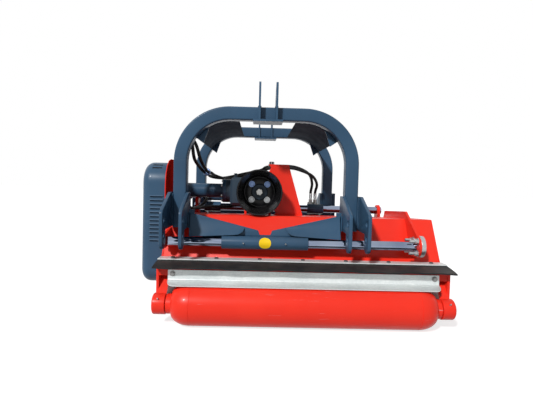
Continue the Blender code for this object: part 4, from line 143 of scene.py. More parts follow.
def skin_group():
    """Height of a sprayed or moulded skin: fine noise times Fine plus broad noise times Broad.

    The broad noise is twenty times as wide as the fine one.
    """
    group, given, result = effect_group("skin", {"Scale": 260.0, "Fine": 0.5, "Broad": 0.5}, ["Height"])
    fine = noise(group, given["Vector"], given["Scale"], 2.0)
    wide_scale = maths(group, "MULTIPLY", given["Scale"], 0.05)
    broad = noise(group, given["Vector"], wide_scale, 2.0)
    height = maths(group, "ADD", maths(group, "MULTIPLY", fine, given["Fine"]),
                   maths(group, "MULTIPLY", broad, given["Broad"]))
    group.links.new(height, result["Height"])
    return group


def dust_group():
    """Dust mask: Amount times a cloudy noise times (0.2 + 0.8 of how far the face looks up)."""
    group, given, result = effect_group("dust", {"Scale": 9.0, "Amount": 0.3}, ["Mask"])
    facing = add_node(group, "ShaderNodeNewGeometry")
    split = add_node(group, "ShaderNodeSeparateXYZ", {"Vector": facing.outputs["Normal"]})
    lifted = maths(group, "MULTIPLY", maths(group, "MAXIMUM", split.outputs["Z"], 0.0), 0.8)
    upward = maths(group, "ADD", lifted, 0.2)
    cloud = noise(group, given["Vector"], given["Scale"], 6.0, 0.62)
    settled = maths(group, "MULTIPLY", band(group, cloud, 0.38, 0.72), upward)
    mask = maths(group, "MULTIPLY", settled, given["Amount"], True)
    group.links.new(mask, result["Mask"])
    return group


def scuff_group():
    """Scratch mask: noise drawn out along X, kept where it peaks and where a broad noise peaks too."""
    group, given, result = effect_group("scuffs", {"Scale": 40.0, "Amount": 0.3}, ["Mask"])
    drawn = add_node(group, "ShaderNodeMapping", {"Vector": given["Vector"], "Scale": (0.12, 1.0, 1.6),
                                                   "Rotation": (0.2, 0.1, 0.1)})
    lines = band(group, noise(group, drawn.outputs[0], given["Scale"], 5.0, 0.7), 0.62, 0.70)
    patches = band(group, noise(group, given["Vector"], 5.0, 2.0), 0.50, 0.62)
    scratches = maths(group, "MULTIPLY", lines, patches)
    mask = maths(group, "MULTIPLY", scratches, given["Amount"], True)
    group.links.new(mask, result["Mask"])
    return group


def spangle_group():
    """Zinc crystals: a random value of each Voronoi cell as its shade, 0.3 of another as its height."""
    group, given, result = effect_group("spangle", {"Scale": 110.0}, ["Shade", "Height"])
    cells = add_node(group, "ShaderNodeTexVoronoi", {"Vector": given["Vector"], "Scale": given["Scale"]})
    split = add_node(group, "ShaderNodeSeparateColor", {"Color": cells.outputs["Color"]})
    group.links.new(split.outputs[0], result["Shade"])
    group.links.new(maths(group, "MULTIPLY", split.outputs[1], 0.3), result["Height"])
    return group


SKIN = skin_group()
DUST = dust_group()
SCUFFS = scuff_group()
SPANGLE = spangle_group()
DUST_COLOUR = (0.30, 0.25, 0.19, 1.0)
COAT_ROUGHNESS = 0.10
PAINT_GLOSS = 0.18
RUBBER_GLOSS = 0.20


def blank_material(name, roughness, metallic=0.0, coat=0.0, specular=0.5):
    """A material with its Principled shader's plain numbers set, and its object coordinates."""
    made = bpy.data.materials.new(name)
    made.use_nodes = True
    tree = made.node_tree
    shader = tree.nodes["Principled BSDF"]
    plain = {"Roughness": roughness, "Metallic": metallic, "Specular IOR Level": specular,
             "Coat Weight": coat, "Coat Roughness": COAT_ROUGHNESS}
    for label, value in plain.items():
        shader.inputs[label].default_value = value
    place = add_node(tree, "ShaderNodeTexCoord").outputs["Object"]
    return made, tree, shader, place


def blend_colours(tree, factor, first, second):
    """The colour of first where factor is 0 and of second where it is 1."""
    inputs = {0: factor, 6: first, 7: second}
    return add_node(tree, "ShaderNodeMix", inputs, data_type="RGBA").outputs[2]


def add_group(tree, group, inputs):
    """A placed effect group whose inputs are given by their labels."""
    return add_node(tree, "ShaderNodeGroup", inputs, node_tree=group)


def dress(tree, shader, colour, rough, height, distance):
    """The shader takes a colour, a roughness, and a normal made from a height times a distance."""
    normal = add_node(tree, "ShaderNodeBump", {"Height": height, "Distance": distance}).outputs["Normal"]
    for label, value in (("Base Color", colour), ("Roughness", rough), ("Normal", normal)):
        tree.links.new(value, shader.inputs[label])


def dusted(tree, place, colour, **inputs):
    """A colour with dust blended over it by the dust group's mask, and that mask."""
    dirt = add_group(tree, DUST, {"Vector": place, **inputs}).outputs[0]
    return blend_colours(tree, dirt, colour, DUST_COLOUR), dirt


def varied(tree, base, value, amount, centre):
    """A roughness that varies by an amount times a value about its base: base + amount * value - centre."""
    return maths(tree, "ADD", maths(tree, "MULTIPLY", value, amount), base - centre, True)


def paint(name, light, deep, roughness, coat, dust, scuffs, skin=0.00010, specular=PAINT_GLOSS):
    """Sprayed paint: two shades in broad clouds, dust on the faces that look up, scuffs, a sprayed skin.

    A scuff's colour is 0.45 of the light shade plus 0.36. The roughness varies by 0.12 of a noise, and
    dust adds 0.35 of its mask.
    """
    made, tree, shader, place = blank_material(name, roughness, 0.0, coat, specular)
    cloud = noise(tree, place, 3.5, 3.0)
    colour = blend_colours(tree, band(tree, cloud, 0.35, 0.7), light, deep)
    rub = add_group(tree, SCUFFS, {"Vector": place, "Amount": scuffs}).outputs[0]
    paler = tuple(min(1.0, 0.45 * c + 0.36) for c in light[:3]) + (1.0,)
    colour = blend_colours(tree, rub, colour, paler)
    colour, dirt = dusted(tree, place, colour, Amount=dust)
    rough = varied(tree, roughness, noise(tree, place, 30.0, 4.0), 0.12, 0.06)
    rough = maths(tree, "ADD", rough, maths(tree, "MULTIPLY", dirt, 0.35), True)
    height = add_group(tree, SKIN, {"Vector": place, "Fine": 0.5, "Broad": 1.0}).outputs[0]
    dress(tree, shader, colour, rough, height, skin)
    return made


def metal(name, light, deep, roughness, metallic, spangle=0.0, grain=0.00004, dust=0.2):
    """Bare, plated or galvanised metal: zinc cells where spangle is above 0, and a fine grain.

    Shade = spangle * the cells' shade + (1 - spangle) * a cloud, and the roughness varies by 0.12 of it.
    """
    made, tree, shader, place = blank_material(name, roughness, metallic)
    cells = add_group(tree, SPANGLE, {"Vector": place})
    cloud = band(tree, noise(tree, place, 7.0, 4.0), 0.35, 0.7)
    shade = maths(tree, "ADD", maths(tree, "MULTIPLY", cells.outputs[0], spangle),
                  maths(tree, "MULTIPLY", cloud, 1.0 - spangle), True)
    colour = dusted(tree, place, blend_colours(tree, shade, light, deep), Amount=dust)[0]
    fine = add_group(tree, SKIN, {"Vector": place, "Scale": 420.0}).outputs[0]
    height = maths(tree, "ADD", fine, cells.outputs[1])
    dress(tree, shader, colour, varied(tree, roughness, shade, 0.12, 0.06), height, grain)
    return made


def rubber(name, light, deep, roughness, dust, grain=0.0003):
    """Rubber, plastic, and the near-black paints that stand for painted shade: two dark shades in clouds,
    which also vary the roughness, and dust.

    The skin is a moulded one.
    """
    made, tree, shader, place = blank_material(name, roughness, specular=RUBBER_GLOSS)
    cloud = band(tree, noise(tree, place, 11.0, 5.0), 0.3, 0.72)
    colour = dusted(tree, place, blend_colours(tree, cloud, light, deep), Amount=dust, Scale=14.0)[0]
    height = add_group(tree, SKIN, {"Vector": place, "Scale": 320.0}).outputs[0]
    dress(tree, shader, colour, varied(tree, roughness, cloud, 0.15, 0.07), height, grain)
    return made


RED = paint("red_sprayed_paint", (0.86, 0.034, 0.016, 1), (0.80, 0.026, 0.013, 1), 0.32, 0.06, 0.04, 0.06)
# A darker, matt copy of the red paint with no gloss, for the belt's back plate.
DARKER_MATT_RED = paint("red_paint_darker_and_matt", (0.80, 0.030, 0.015, 1), (0.74, 0.024, 0.012, 1),
                 0.85, 0.0, 0.0, 0.06, specular=0.0)
ROLLER_RED = paint("red_roller_paint", (0.87, 0.035, 0.016, 1), (0.81, 0.027, 0.013, 1),
                   0.34, 0.06, 0.03, 0.6)
SLATE = paint("slate_sprayed_paint", (0.036, 0.088, 0.156, 1), (0.028, 0.070, 0.126, 1),
              0.36, 0.05, 0.08, 0.10)
# A darker copy of the slate paint with a coarser skin, for the gearbox casting, the seal housing and the
# hitch plates' bolts.
DARKER_SLATE = paint("slate_paint_darker", (0.030, 0.054, 0.080, 1), (0.020, 0.036, 0.056, 1),
                   0.42, 0.05, 0.10, 0.05, skin=0.0004)
ZINC = metal("galvanised_sheet", (0.80, 0.83, 0.82, 1), (0.60, 0.65, 0.65, 1), 0.40, 0.25, 0.35, dust=0.12)
# Chrome kept dark and tinted blue: a painted reflection of a blue sky above and dark ground below, on the
# bars and the rod.
CHROME_PAINTED_SKY_BLUE = metal("chrome_tinted_as_painted_reflection", (0.31, 0.36, 0.46, 1), (0.19, 0.23, 0.33, 1), 0.11, 1.0,
               dust=0.05, grain=0.00001)
STEEL = metal("bare_steel", (0.36, 0.36, 0.35, 1), (0.22, 0.22, 0.22, 1), 0.42, 0.7)
PLATED = metal("plated_fasteners", (0.50, 0.51, 0.52, 1), (0.34, 0.35, 0.36, 1), 0.30, 0.85, dust=0.05)
BLUED = metal("blued_fasteners", (0.24, 0.36, 0.66, 1), (0.16, 0.26, 0.50, 1), 0.32, 0.4, dust=0.0)
IRON = metal("cast_iron", (0.115, 0.115, 0.12, 1), (0.07, 0.07, 0.075, 1), 0.55, 0.6, grain=0.0002)
RUBBER = rubber("black_rubber", (0.014, 0.014, 0.015, 1), (0.008, 0.008, 0.009, 1), 0.60, 0.08)
PLASTIC = rubber("black_moulding", (0.007, 0.007, 0.008, 1), (0.004, 0.004, 0.005, 1), 0.26, 0.02,
                 grain=0.0001)
# Black for the louvre slots: painted shade inside the guard.
SHADE = rubber("black_painted_shade", (0.003, 0.003, 0.003, 1), (0.002, 0.002, 0.002, 1), 0.80, 0.0)
# Slate darkened to near black and made matt: painted shade for the undersides of the bridge sheets.
PAINTED_SHADE_SLATE = rubber("slate_paint_in_shade", (0.022, 0.044, 0.070, 1), (0.015, 0.030, 0.050, 1), 0.88, 0.02)
YELLOW = paint("yellow_disc", (0.93, 0.62, 0.010, 1), (0.86, 0.55, 0.008, 1), 0.40, 0.05, 0.03, 0.03)


def round_turn(count):
    """Even angles round a full turn, in radians, without the last one, which is the first again."""
    return np.linspace(0.0, 2 * math.pi, count, endpoint=False)


def arc_line(centre, radius, start, end, steps):
    """Points on an arc: centre plus radius times (cos, sin) at even angles in degrees."""
    turn = np.radians(np.linspace(start, end, steps + 1))
    return np.stack([centre[0] + radius * np.cos(turn), centre[1] + radius * np.sin(turn)], -1)


def eased(corners, steps, closed=True):
    """A line of (u, v, radius) corners, each cut by an arc that touches its two sides.

    The arc's centre lies on the corner's bisector at radius / sin(half angle), and it starts and ends
    radius / tan(half angle) from the corner.
    """
    points = [np.array(corner[:2], float) for corner in corners]
    line = []
    last = len(corners) - 1
    for i, corner in enumerate(corners):
        radius = corner[2] if len(corner) > 2 else 0.0
        if radius <= 0.0 or (not closed and i in (0, last)):
            line.append(points[i])
            continue
        before = points[i - 1] - points[i]
        after = points[(i + 1) % len(points)] - points[i]
        before /= np.linalg.norm(before)
        after /= np.linalg.norm(after)
        half = math.acos(np.clip(before @ after, -1.0, 1.0)) / 2
        middle = points[i] + (before + after) / np.linalg.norm(before + after) * radius / math.sin(half)
        first = points[i] + before * radius / math.tan(half) - middle
        second = points[i] + after * radius / math.tan(half) - middle
        share = np.linspace(0.0, 1.0, steps + 1)[:, None]
        whole = math.pi - 2 * half
        line.extend(middle + (np.sin((1 - share) * whole) * first + np.sin(share * whole) * second)
                    / math.sin(whole))
    return np.array(line)


def grid_faces(rows, columns, close_rows=False):
    """The quads of a grid of points, row after row: each row is closed round, and the rows where asked."""
    i, j = np.meshgrid(np.arange(rows if close_rows else rows - 1), np.arange(columns), indexing="ij")
    below, right = (i + 1) % rows, (j + 1) % columns
    corners = (i * columns + j, i * columns + right, below * columns + right, below * columns + j)
    return np.stack(corners, -1).reshape(-1, 4)


def add_object(name, data):
    """An object made from its data and put in the scene."""
    made = bpy.data.objects.new(name, data)
    bpy.context.scene.collection.objects.link(made)
    return made


def finish_mesh(name, data, material, flat_angle, merge=1e-6):
    """Doubles merged, normals outward, creases marked by their angle, and one material given."""
    shape = bmesh.new()
    shape.from_mesh(data)
    bmesh.ops.remove_doubles(shape, verts=shape.verts, dist=merge)
    bmesh.ops.recalc_face_normals(shape, faces=shape.faces)
    shape.to_mesh(data)
    shape.free()
    data.materials.clear()
    data.materials.append(material)
    data.polygons.foreach_set("use_smooth", [True] * len(data.polygons))
    data.set_sharp_from_angle(angle=math.radians(flat_angle))
    data.update()
    return add_object(name, data)


def surface(name, grid, material, close_rows=False, caps=False, flat_angle=40.0):
    """A piece from a grid of points (rows, columns, 3), with its first and last rows filled by caps."""
    rows, columns = grid.shape[:2]
    faces = grid_faces(rows, columns, close_rows).tolist()
    if caps:
        faces.append(list(range(columns))[::-1])
        faces.append(list(range((rows - 1) * columns, rows * columns)))
    data = bpy.data.meshes.new(name)
    data.from_pydata(grid.reshape(-1, 3).tolist(), [], faces)
    return finish_mesh(name, data, material, flat_angle)


# For each axis, the slots of its two cross directions, and its own
AXES = {"X": (1, 2, 0), "Y": (0, 2, 1), "Z": (0, 1, 2)}


def placed(axis, first, second, along):
    """World points from two cross places and one along an axis."""
    result = np.empty(np.broadcast(first, second, along).shape + (3,))
    for slot, value in zip(AXES[axis], (first, second, along)):
        result[..., slot] = value
    return result


def turned(name, axis, centre, profile, material, sides=48, ring=False, flat_angle=40.0):
    """A turned piece: each profile point (along, radius) goes round the axis through the centre.

    Point = centre + along * axis + radius * (cos angle, sin angle). The centre has two cross places.
    """
    profile = np.asarray(profile, float)[:, :2]
    angle = round_turn(sides)
    along, radius = profile[:, :1], profile[:, 1:2]
    grid = placed(axis, centre[0] + radius * np.cos(angle), centre[1] + radius * np.sin(angle),
                  along + 0.0 * angle)
    return surface(name, grid, material, close_rows=ring, flat_angle=flat_angle)


def carried(name, axis, outline, low, high, material, edge=0.0):
    """A closed outline carried straight along an axis from low to high, with both ends filled."""
    outline = np.asarray(outline, float)
    along = np.array([low, high])[:, None]
    grid = placed(axis, outline[:, 0] + 0 * along, outline[:, 1] + 0 * along, along + 0 * outline[:, 0])
    piece = surface(name, grid, material, caps=True, flat_angle=32.0)
    return rounded_edges(piece, edge) if edge else piece


def block(name, axis, first, second, along, material, edge=0.0):
    """A box from its two spans (low, high) across an axis, and the span along it, which it sorts."""
    (a, b), (c, d) = first, second
    return carried(name, axis, [(a, c), (b, c), (b, d), (a, d)], *sorted(along), material, edge)


def rounded_edges(piece, width, segments=2, angle=32.0):
    """A live bevel on every edge sharper than an angle, with the flat faces kept flat."""
    bevel = piece.modifiers.new("rounded_edges", "BEVEL")
    bevel.width = width
    bevel.segments = segments
    bevel.limit_method = "ANGLE"
    bevel.angle_limit = math.radians(angle)
    bevel.harden_normals = True
    bevel.use_clamp_overlap = True
    return piece


# Sides of a plate's round holes
HOLE_SIDES = 24


def plate(name, axis, middle, outline, thickness, material, holes=(), edge=0.0012):
    """A flat plate from an outline with round holes (u, v, radius): a filled curve made a mesh."""
    curve = bpy.data.curves.new(name, "CURVE")
    curve.dimensions = "2D"
    curve.fill_mode = "BOTH"
    curve.extrude = thickness / 2 - edge
    curve.bevel_depth = edge
    curve.bevel_resolution = 1
    curve.offset = -edge
    last_angle = 360.0 * (HOLE_SIDES - 1) / HOLE_SIDES
    lines = [np.asarray(outline, float)]
    lines += [arc_line((u, v), radius, 0.0, last_angle, HOLE_SIDES - 1) for u, v, radius in holes]
    for line in lines:
        spline = curve.splines.new("POLY")
        spline.points.add(len(line) - 1)
        flat = np.concatenate([line, np.zeros((len(line), 1)), np.ones((len(line), 1))], 1)
        spline.points.foreach_set("co", flat.ravel())
        spline.use_cyclic_u = True
    holder = add_object(name + "_outline", curve)
    bpy.context.view_layer.update()
    data = bpy.data.meshes.new_from_object(holder.evaluated_get(bpy.context.evaluated_depsgraph_get()))
    bpy.data.objects.remove(holder)
    bpy.data.curves.remove(curve)
    data.name = name
    local = np.empty(len(data.vertices) * 3)
    data.vertices.foreach_get("co", local)
    local = local.reshape(-1, 3)
    data.vertices.foreach_set("co", placed(axis, local[:, 0], local[:, 1], local[:, 2] + middle).ravel())
    return finish_mesh(name, data, material, 25.0, 1e-5)


def smooth_line(points, spacing):
    """A Catmull-Rom curve through points, sampled about a spacing apart.

    Between b and c: half of (2b + (c-a)t + (2a-5b+4c-d)tt + (3b-a-3c+d)ttt).
    """
    knots = np.asarray(points, float)
    knots = np.vstack([2 * knots[0] - knots[1], knots, 2 * knots[-1] - knots[-2]])
    parts = []
    for a, b, c, d in zip(knots, knots[1:], knots[2:], knots[3:]):
        steps = max(1, round(float(np.linalg.norm(c - b)) / spacing))
        t = (np.arange(steps) / steps)[:, None]
        parts.append(0.5 * (2 * b + (c - a) * t + (2 * a - 5 * b + 4 * c - d) * t ** 2
                            + (3 * b - a - 3 * c + d) * t ** 3))
    return np.vstack([*parts, knots[-2][None]])


def tube_along(name, line, radius, material, sides=16):
    """A round tube along a line: each ring is square to the line and turned least from the one before."""
    line = np.asarray(line, float)
    along = np.gradient(line, axis=0)
    along /= np.linalg.norm(along, axis=1, keepdims=True)
    side = np.cross(along[0], (0.0, 0.3, 1.0))
    sideways = []
    for direction in along:
        side = side - direction * (side @ direction)
        side = side / np.linalg.norm(side)
        sideways.append(side)
    sideways = np.array(sideways)
    upward = np.cross(along, sideways)
    angle = round_turn(sides)[None, :, None]
    radius = np.broadcast_to(np.asarray(radius, float), (len(line),))[:, None, None]
    grid = line[:, None] + radius * (np.cos(angle) * sideways[:, None] + np.sin(angle) * upward[:, None])
    return surface(name, grid, material, caps=True)


def edged_copy(name, node, material, width, segments=2):
    """A CAD node's shape with its triangles merged into flat faces and its edges rounded."""
    data = frame["nodes"][node].data.copy()
    shape = bmesh.new()
    shape.from_mesh(data)
    bmesh.ops.remove_doubles(shape, verts=shape.verts, dist=1e-5)
    bmesh.ops.dissolve_limit(shape, angle_limit=math.radians(0.6), verts=shape.verts, edges=shape.edges)
    shape.to_mesh(data)
    shape.free()
    piece = finish_mesh(name, data, material, 33.0)
    return rounded_edges(piece, width, segments, 33.0) if width else piece


def settle(piece, node):
    """The piece stands for a CAD node and rides on its body."""
    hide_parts(node)
    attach(piece, frame["nodes"][node]["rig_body"])


def added(piece, node):
    """The piece is added beside a CAD node and rides on its body."""
    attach(piece, frame["nodes"][node]["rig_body"])


# A bolt head's and a washer's profiles as shares of the height and the radius, their sides, how far
# their feet lie from the face, and the turn of both about their place
HEAD_PROFILE = np.array([(0.0, 0.0), (0.0, 1.0), (0.85, 1.0), (1.0, 0.82), (1.0, 0.0)])
HEAD_SIDES = 6
HEAD_FOOT = 0.0015
WASHER_PROFILE = np.array([(0.0, 0.0), (0.0, 1.0), (1.0, 1.0), (1.0, 0.0)])
WASHER_SIDES = 20
WASHER_FOOT = -0.001
WASHER_HEIGHT = 0.003
HEAD_TURN = 0.3


def heads(name, axis, places, face, sign, radius, height, material, washer=1.35):
    """Bolt heads at cross places on a face: a flat washer, and a six-sided head with its edge eased.

    Each is a profile turned round its place, going out from the face by the sign. The washer's radius is
    given in head radii.
    """
    points = []
    faces = []
    start = 0
    for place in places:
        for profile, sides, wide, foot, tall in (
                (WASHER_PROFILE, WASHER_SIDES, radius * washer, WASHER_FOOT, WASHER_HEIGHT),
                (HEAD_PROFILE, HEAD_SIDES, radius, HEAD_FOOT, height)):
            angle = round_turn(sides) + HEAD_TURN
            ring = profile[:, 1:2] * wide
            along = face + sign * (foot + profile[:, :1] * tall)
            grid = placed(axis, place[0] + ring * np.cos(angle), place[1] + ring * np.sin(angle),
                          along + 0 * angle)
            points.append(grid.reshape(-1, 3))
            faces += (grid_faces(len(profile), sides) + start).tolist()
            start += grid.shape[0] * grid.shape[1]
    data = bpy.data.meshes.new(name)
    data.from_pydata(np.vstack(points).tolist(), [], faces)
    return finish_mesh(name, data, material, 28.0)


def node_box(node):
    """A node's low and high corners as arrays."""
    low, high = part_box(node)
    return np.array(low), np.array(high)


def node_middle(node):
    """The middle of a node's box."""
    low, high = node_box(node)
    return (low + high) / 2


# Sizes that the solids have too, in metres; heights are above the ground
HOOP_TUBE = 0.065
HOOP_WALL = 0.006
HOOP_HALF_WIDTH = 0.457
HOOP_CORNER = 0.275
HOOP_FOOT = 0.430
HITCH_REACH = 0.5725
HITCH_THICKNESS = 0.015
HITCH_STAND = 0.0065
HITCH_TOP = 0.603
HITCH_SHOULDER = 0.520
HITCH_HEEL = 0.432
HITCH_BOTTOM = 0.345
HITCH_TOE = 0.070
HITCH_PIN_HEIGHTS = (0.410, 0.480)
HITCH_PIN_INSET = 0.035
HITCH_PIN_BORE = 0.0145
HITCH_BOLT_HEIGHTS = (0.470, 0.515, 0.560)
PAD_THICKNESS = 0.008
BRIDGE_THICKNESS = 0.006
BRIDGE_FOOT_ANGLE = 35
BRIDGE_FLAT = 0.040
BARREL_HALF = 0.517
BARREL_DOME = 0.087
ROLLER_NECK = 0.023
JOURNAL_LENGTH = 0.045
JOURNAL_RADIUS = 0.0175
ARM_INSET = 0.0083
ARM_THICKNESS = 0.012
ARM_TOP = 0.262
SCRAPER_SETBACK = 0.015
DECK_HEIGHT = 0.4900
DECK_FRONT = -0.2465
DECK_FALL = 0.0513
CUP_RADIUS = 0.116
CUP_FOOT_RADIUS = 0.098
CUP_WALL = 0.004
SEAL_BORE = 0.046
CLAMP_RADIUS = 0.080
CLAMP_BOLT_PLACE = 0.0425
SPLINE_RADIUS = 0.01745
SPLINE_DEPTH = 0.0024
SPLINES = 6
SLEEVE_RADIUS = 0.0315
SLEEVE_HALF = 0.2075
HOSE_RADIUS = 0.0088
FERRULE_RADIUS = 0.0106
FERRULE_RIPPLE = 0.0007

# How far a piece stands into the one that carries it, so that no gap shows
SUNK = 0.0005
# How far the guard's bolt heads stand out, which the guard's face is drawn in by
BOLT_STAND = 0.0027
# Radii along a grease nipple from its foot, and its length
NIPPLE = (0.0045, 0.0045, 0.003, 0.0032, 0.0038, 0.0036, 0.002)
NIPPLE_LENGTH = 0.013
# The two sides and their signs along X
SIDES = (("left", -1), ("right", 1))

# Places read from the frame: a centre has two cross places
HEAD_X = node_middle("hoop_near")[0]
HOOP_TOP = node_box("hoop_near")[1][2]
NEAR_HOOP_Y = node_box("hoop_near")[1][1] - HOOP_TUBE / 2
FAR_HOOP_Y = node_box("hoop_far")[0][1] + HOOP_TUBE / 2
HEAD_Y = (NEAR_HOOP_Y + FAR_HOOP_Y) / 2
BEND_CENTRE = (HOOP_HALF_WIDTH - HOOP_CORNER, HOOP_TOP - HOOP_CORNER)
LEFT_FACE = node_box("side_plate_left")[0][0]
RIGHT_FACE = node_box("side_plate_right")[1][0]
HOUSING_X = (LEFT_FACE + RIGHT_FACE) / 2
GEARBOX_X = node_middle("input_shaft")[0]
GEARBOX_HEIGHT = node_middle("input_shaft")[2]
INPUT_CENTRE = (GEARBOX_X, GEARBOX_HEIGHT)
SHAFT_Y = node_middle("output_tube")[1]
OUTPUT_CENTRE = (SHAFT_Y, GEARBOX_HEIGHT)
NEAR_BAR = node_middle("slide_bar_near")[1:]
FAR_BAR = node_middle("slide_bar_far")[1:]
BAR_RADIUS = (node_box("slide_bar_near")[1][2] - node_box("slide_bar_near")[0][2]) / 2
ROLLER = node_middle("ground_roller")[1:]
BARREL_RADIUS = ROLLER[0] - node_box("ground_roller")[0][1]
ROTOR_Y = node_middle("rotor_pulley")[1]


def hoop(name, side):
    """A hollow square tube bent over: its rounded section is carried along two legs and two bends.

    A point lies at the path's place, plus the section's depth times the path's outward direction,
    with the section's width along Y. The inner skin's rows run back, so the wall closes at the feet.
    """
    y = HEAD_Y + side * (FAR_HOOP_Y - HEAD_Y)
    bend = HOOP_CORNER - HOOP_TUBE / 2
    right = np.vstack([[(BEND_CENTRE[0] + bend, HOOP_FOOT)], arc_line(BEND_CENTRE, bend, 0, 90, 44)])
    path = np.vstack([right, right[::-1] * (-1, 1)])
    along = np.gradient(path, axis=0)
    along[0], along[-1] = (0, 1), (0, -1)
    along /= np.linalg.norm(along, axis=1, keepdims=True)
    outward = np.stack([along[:, 1], -along[:, 0]], -1)

    def skin(half, round_off):
        """The section's rows along the path, half a tube wide, with its corners rounded off."""
        signs = ((1, 1), (-1, 1), (-1, -1), (1, -1))
        section = eased([(half * u, half * v, round_off) for u, v in signs], 8)
        grid = np.empty((len(path), len(section), 3))
        grid[..., 0] = HEAD_X + path[:, :1] + outward[:, :1] * section[:, 0]
        grid[..., 1] = y + section[:, 1]
        grid[..., 2] = path[:, 1:] + outward[:, 1:] * section[:, 0]
        return grid

    outer, inner = skin(HOOP_TUBE / 2, 0.009), skin(HOOP_TUBE / 2 - HOOP_WALL, 0.003)
    settle(surface(name + "_tube", np.concatenate([outer, inner[::-1]]), SLATE, close_rows=True), name)


def hitch_plates(name, side):
    """The four lower hitch plates beside a hoop's legs, with pads behind the outer ones, and bolts.

    A plate runs from the leg to HITCH_REACH, falls from its top to its shoulder, and hooks down in a toe.
    """
    rear = (FAR_HOOP_Y - HEAD_Y) - HOOP_TUBE / 2 + HITCH_STAND
    slope = rear + HOOP_TUBE
    toe = HITCH_REACH - HITCH_TOE
    corners = [(rear, HITCH_TOP, 0.006), (slope, HITCH_TOP, 0.012), (HITCH_REACH, HITCH_SHOULDER, 0.024),
               (HITCH_REACH, HITCH_BOTTOM, 0.034), (toe, HITCH_BOTTOM, 0.034), (toe, HITCH_HEEL, 0.008),
               (rear, HITCH_HEEL, 0.004)]
    outline = eased(corners, 6)
    outline[:, 0] = HEAD_Y + side * outline[:, 0]
    pin_y = HEAD_Y + side * (HITCH_REACH - HITCH_PIN_INSET)
    holes = [(pin_y, height, HITCH_PIN_BORE) for height in HITCH_PIN_HEIGHTS]
    inner = HOOP_HALF_WIDTH - HOOP_TUBE - HITCH_THICKNESS / 2 + SUNK
    outer = HOOP_HALF_WIDTH + HITCH_THICKNESS / 2 + PAD_THICKNESS - SUNK
    pad = (HEAD_Y + side * (rear + 0.004), HEAD_Y + side * (slope - 0.008))
    for label, sign in SIDES:
        for place, reach in (("inner", inner), ("outer", outer)):
            added(plate(f"{name}_{label}_{place}_plate", "X", HEAD_X + sign * reach, outline,
                        HITCH_THICKNESS, SLATE, holes, 0.0015), name)
        face = HEAD_X + sign * (HOOP_HALF_WIDTH - SUNK)
        added(block(f"{name}_{label}_pad", "X", sorted(pad), (HITCH_HEEL + 0.008, HITCH_TOP - 0.007),
                    (face, face + sign * (PAD_THICKNESS + SUNK)), SLATE, 0.001), name)
        places = [(HEAD_Y + side * (rear + 0.034), z) for z in HITCH_BOLT_HEIGHTS]
        added(heads(f"{name}_{label}_bolts", "X", places, HEAD_X + sign * (outer - HITCH_THICKNESS / 2),
                    -sign, 0.0095, 0.006, DARKER_SLATE), name)


for hoop_name, hoop_side in (("hoop_near", -1), ("hoop_far", 1)):
    hoop(hoop_name, hoop_side)
    hitch_plates(hoop_name, hoop_side)


def bridge(name, sign):
    """A curved plate between the hoops: two arcs and a short flat, carried along Y, with end webs.

    A web fills the corner under the plate's foot: an arc just inside the plate, closed by a short point.
    """
    radius = HOOP_CORNER - HOOP_TUBE
    inner = arc_line(BEND_CENTRE, radius, BRIDGE_FOOT_ANGLE, 90, 18)
    outer = arc_line(BEND_CENTRE, radius + BRIDGE_THICKNESS, 90, BRIDGE_FOOT_ANGLE, 18)
    flat_end, flat_height = BEND_CENTRE[0] - BRIDGE_FLAT, BEND_CENTRE[1] + radius
    flat = [(flat_end, flat_height), (flat_end, flat_height + BRIDGE_THICKNESS)]
    outline = np.vstack([inner, flat, outer])
    outline[:, 0] = HEAD_X + sign * outline[:, 0]
    low, high = node_box(name)
    # The sheet takes the near-black slate, which paints the shade under it.
    settle(carried(name + "_sheet", "Y", outline, low[1], high[1], PAINTED_SHADE_SLATE, 0.001), name)
    reach, end_angle, setback, thickness = 0.040, 58, 0.004, 0.006
    turn = math.radians(BRIDGE_FOOT_ANGLE)
    foot = np.array([math.cos(turn), math.sin(turn)])
    root = np.array(BEND_CENTRE) + radius * foot
    tip = root - reach * foot
    rim = arc_line(BEND_CENTRE, radius - SUNK, BRIDGE_FOOT_ANGLE + 1, end_angle, 6)
    web = np.vstack([root[None], rim, tip[None]])
    web[:, 0] = HEAD_X + sign * web[:, 0]
    for label, start in (("near", low[1] + setback), ("far", high[1] - setback - thickness)):
        added(carried(f"{name}_{label}_web", "Y", web, start, start + thickness, SLATE, 0.0008), name)


for side_label, side_sign in SIDES:
    bridge("bridge_plate_" + side_label, side_sign)


def weld(name, node, start, stop, material, size=0.0032):
    """A weld bead: a tube from start to stop whose radius swells every 5 mm by a cosine.

    Radius = size * (0.88 + 0.12 cos(a quarter turn per step)), with a step every 1.25 mm, and
    0.6 of the size at both ends.
    """
    start, stop = np.array(start, float), np.array(stop, float)
    steps = max(8, int(np.linalg.norm(stop - start) / 0.00125))
    line = start + np.linspace(0.0, 1.0, steps + 1)[:, None] * (stop - start)
    swell = size * (0.88 + 0.12 * np.cos(np.arange(steps + 1) * math.pi / 2))
    swell[0] = swell[-1] = size * 0.6
    added(tube_along(name, line, swell, material, 8), node)


def on_deck(x, y):
    """A place on the deck: its height falls evenly along Y from the hood's front corner to the back."""
    return x, y, DECK_HEIGHT - DECK_FALL * (y - DECK_FRONT)


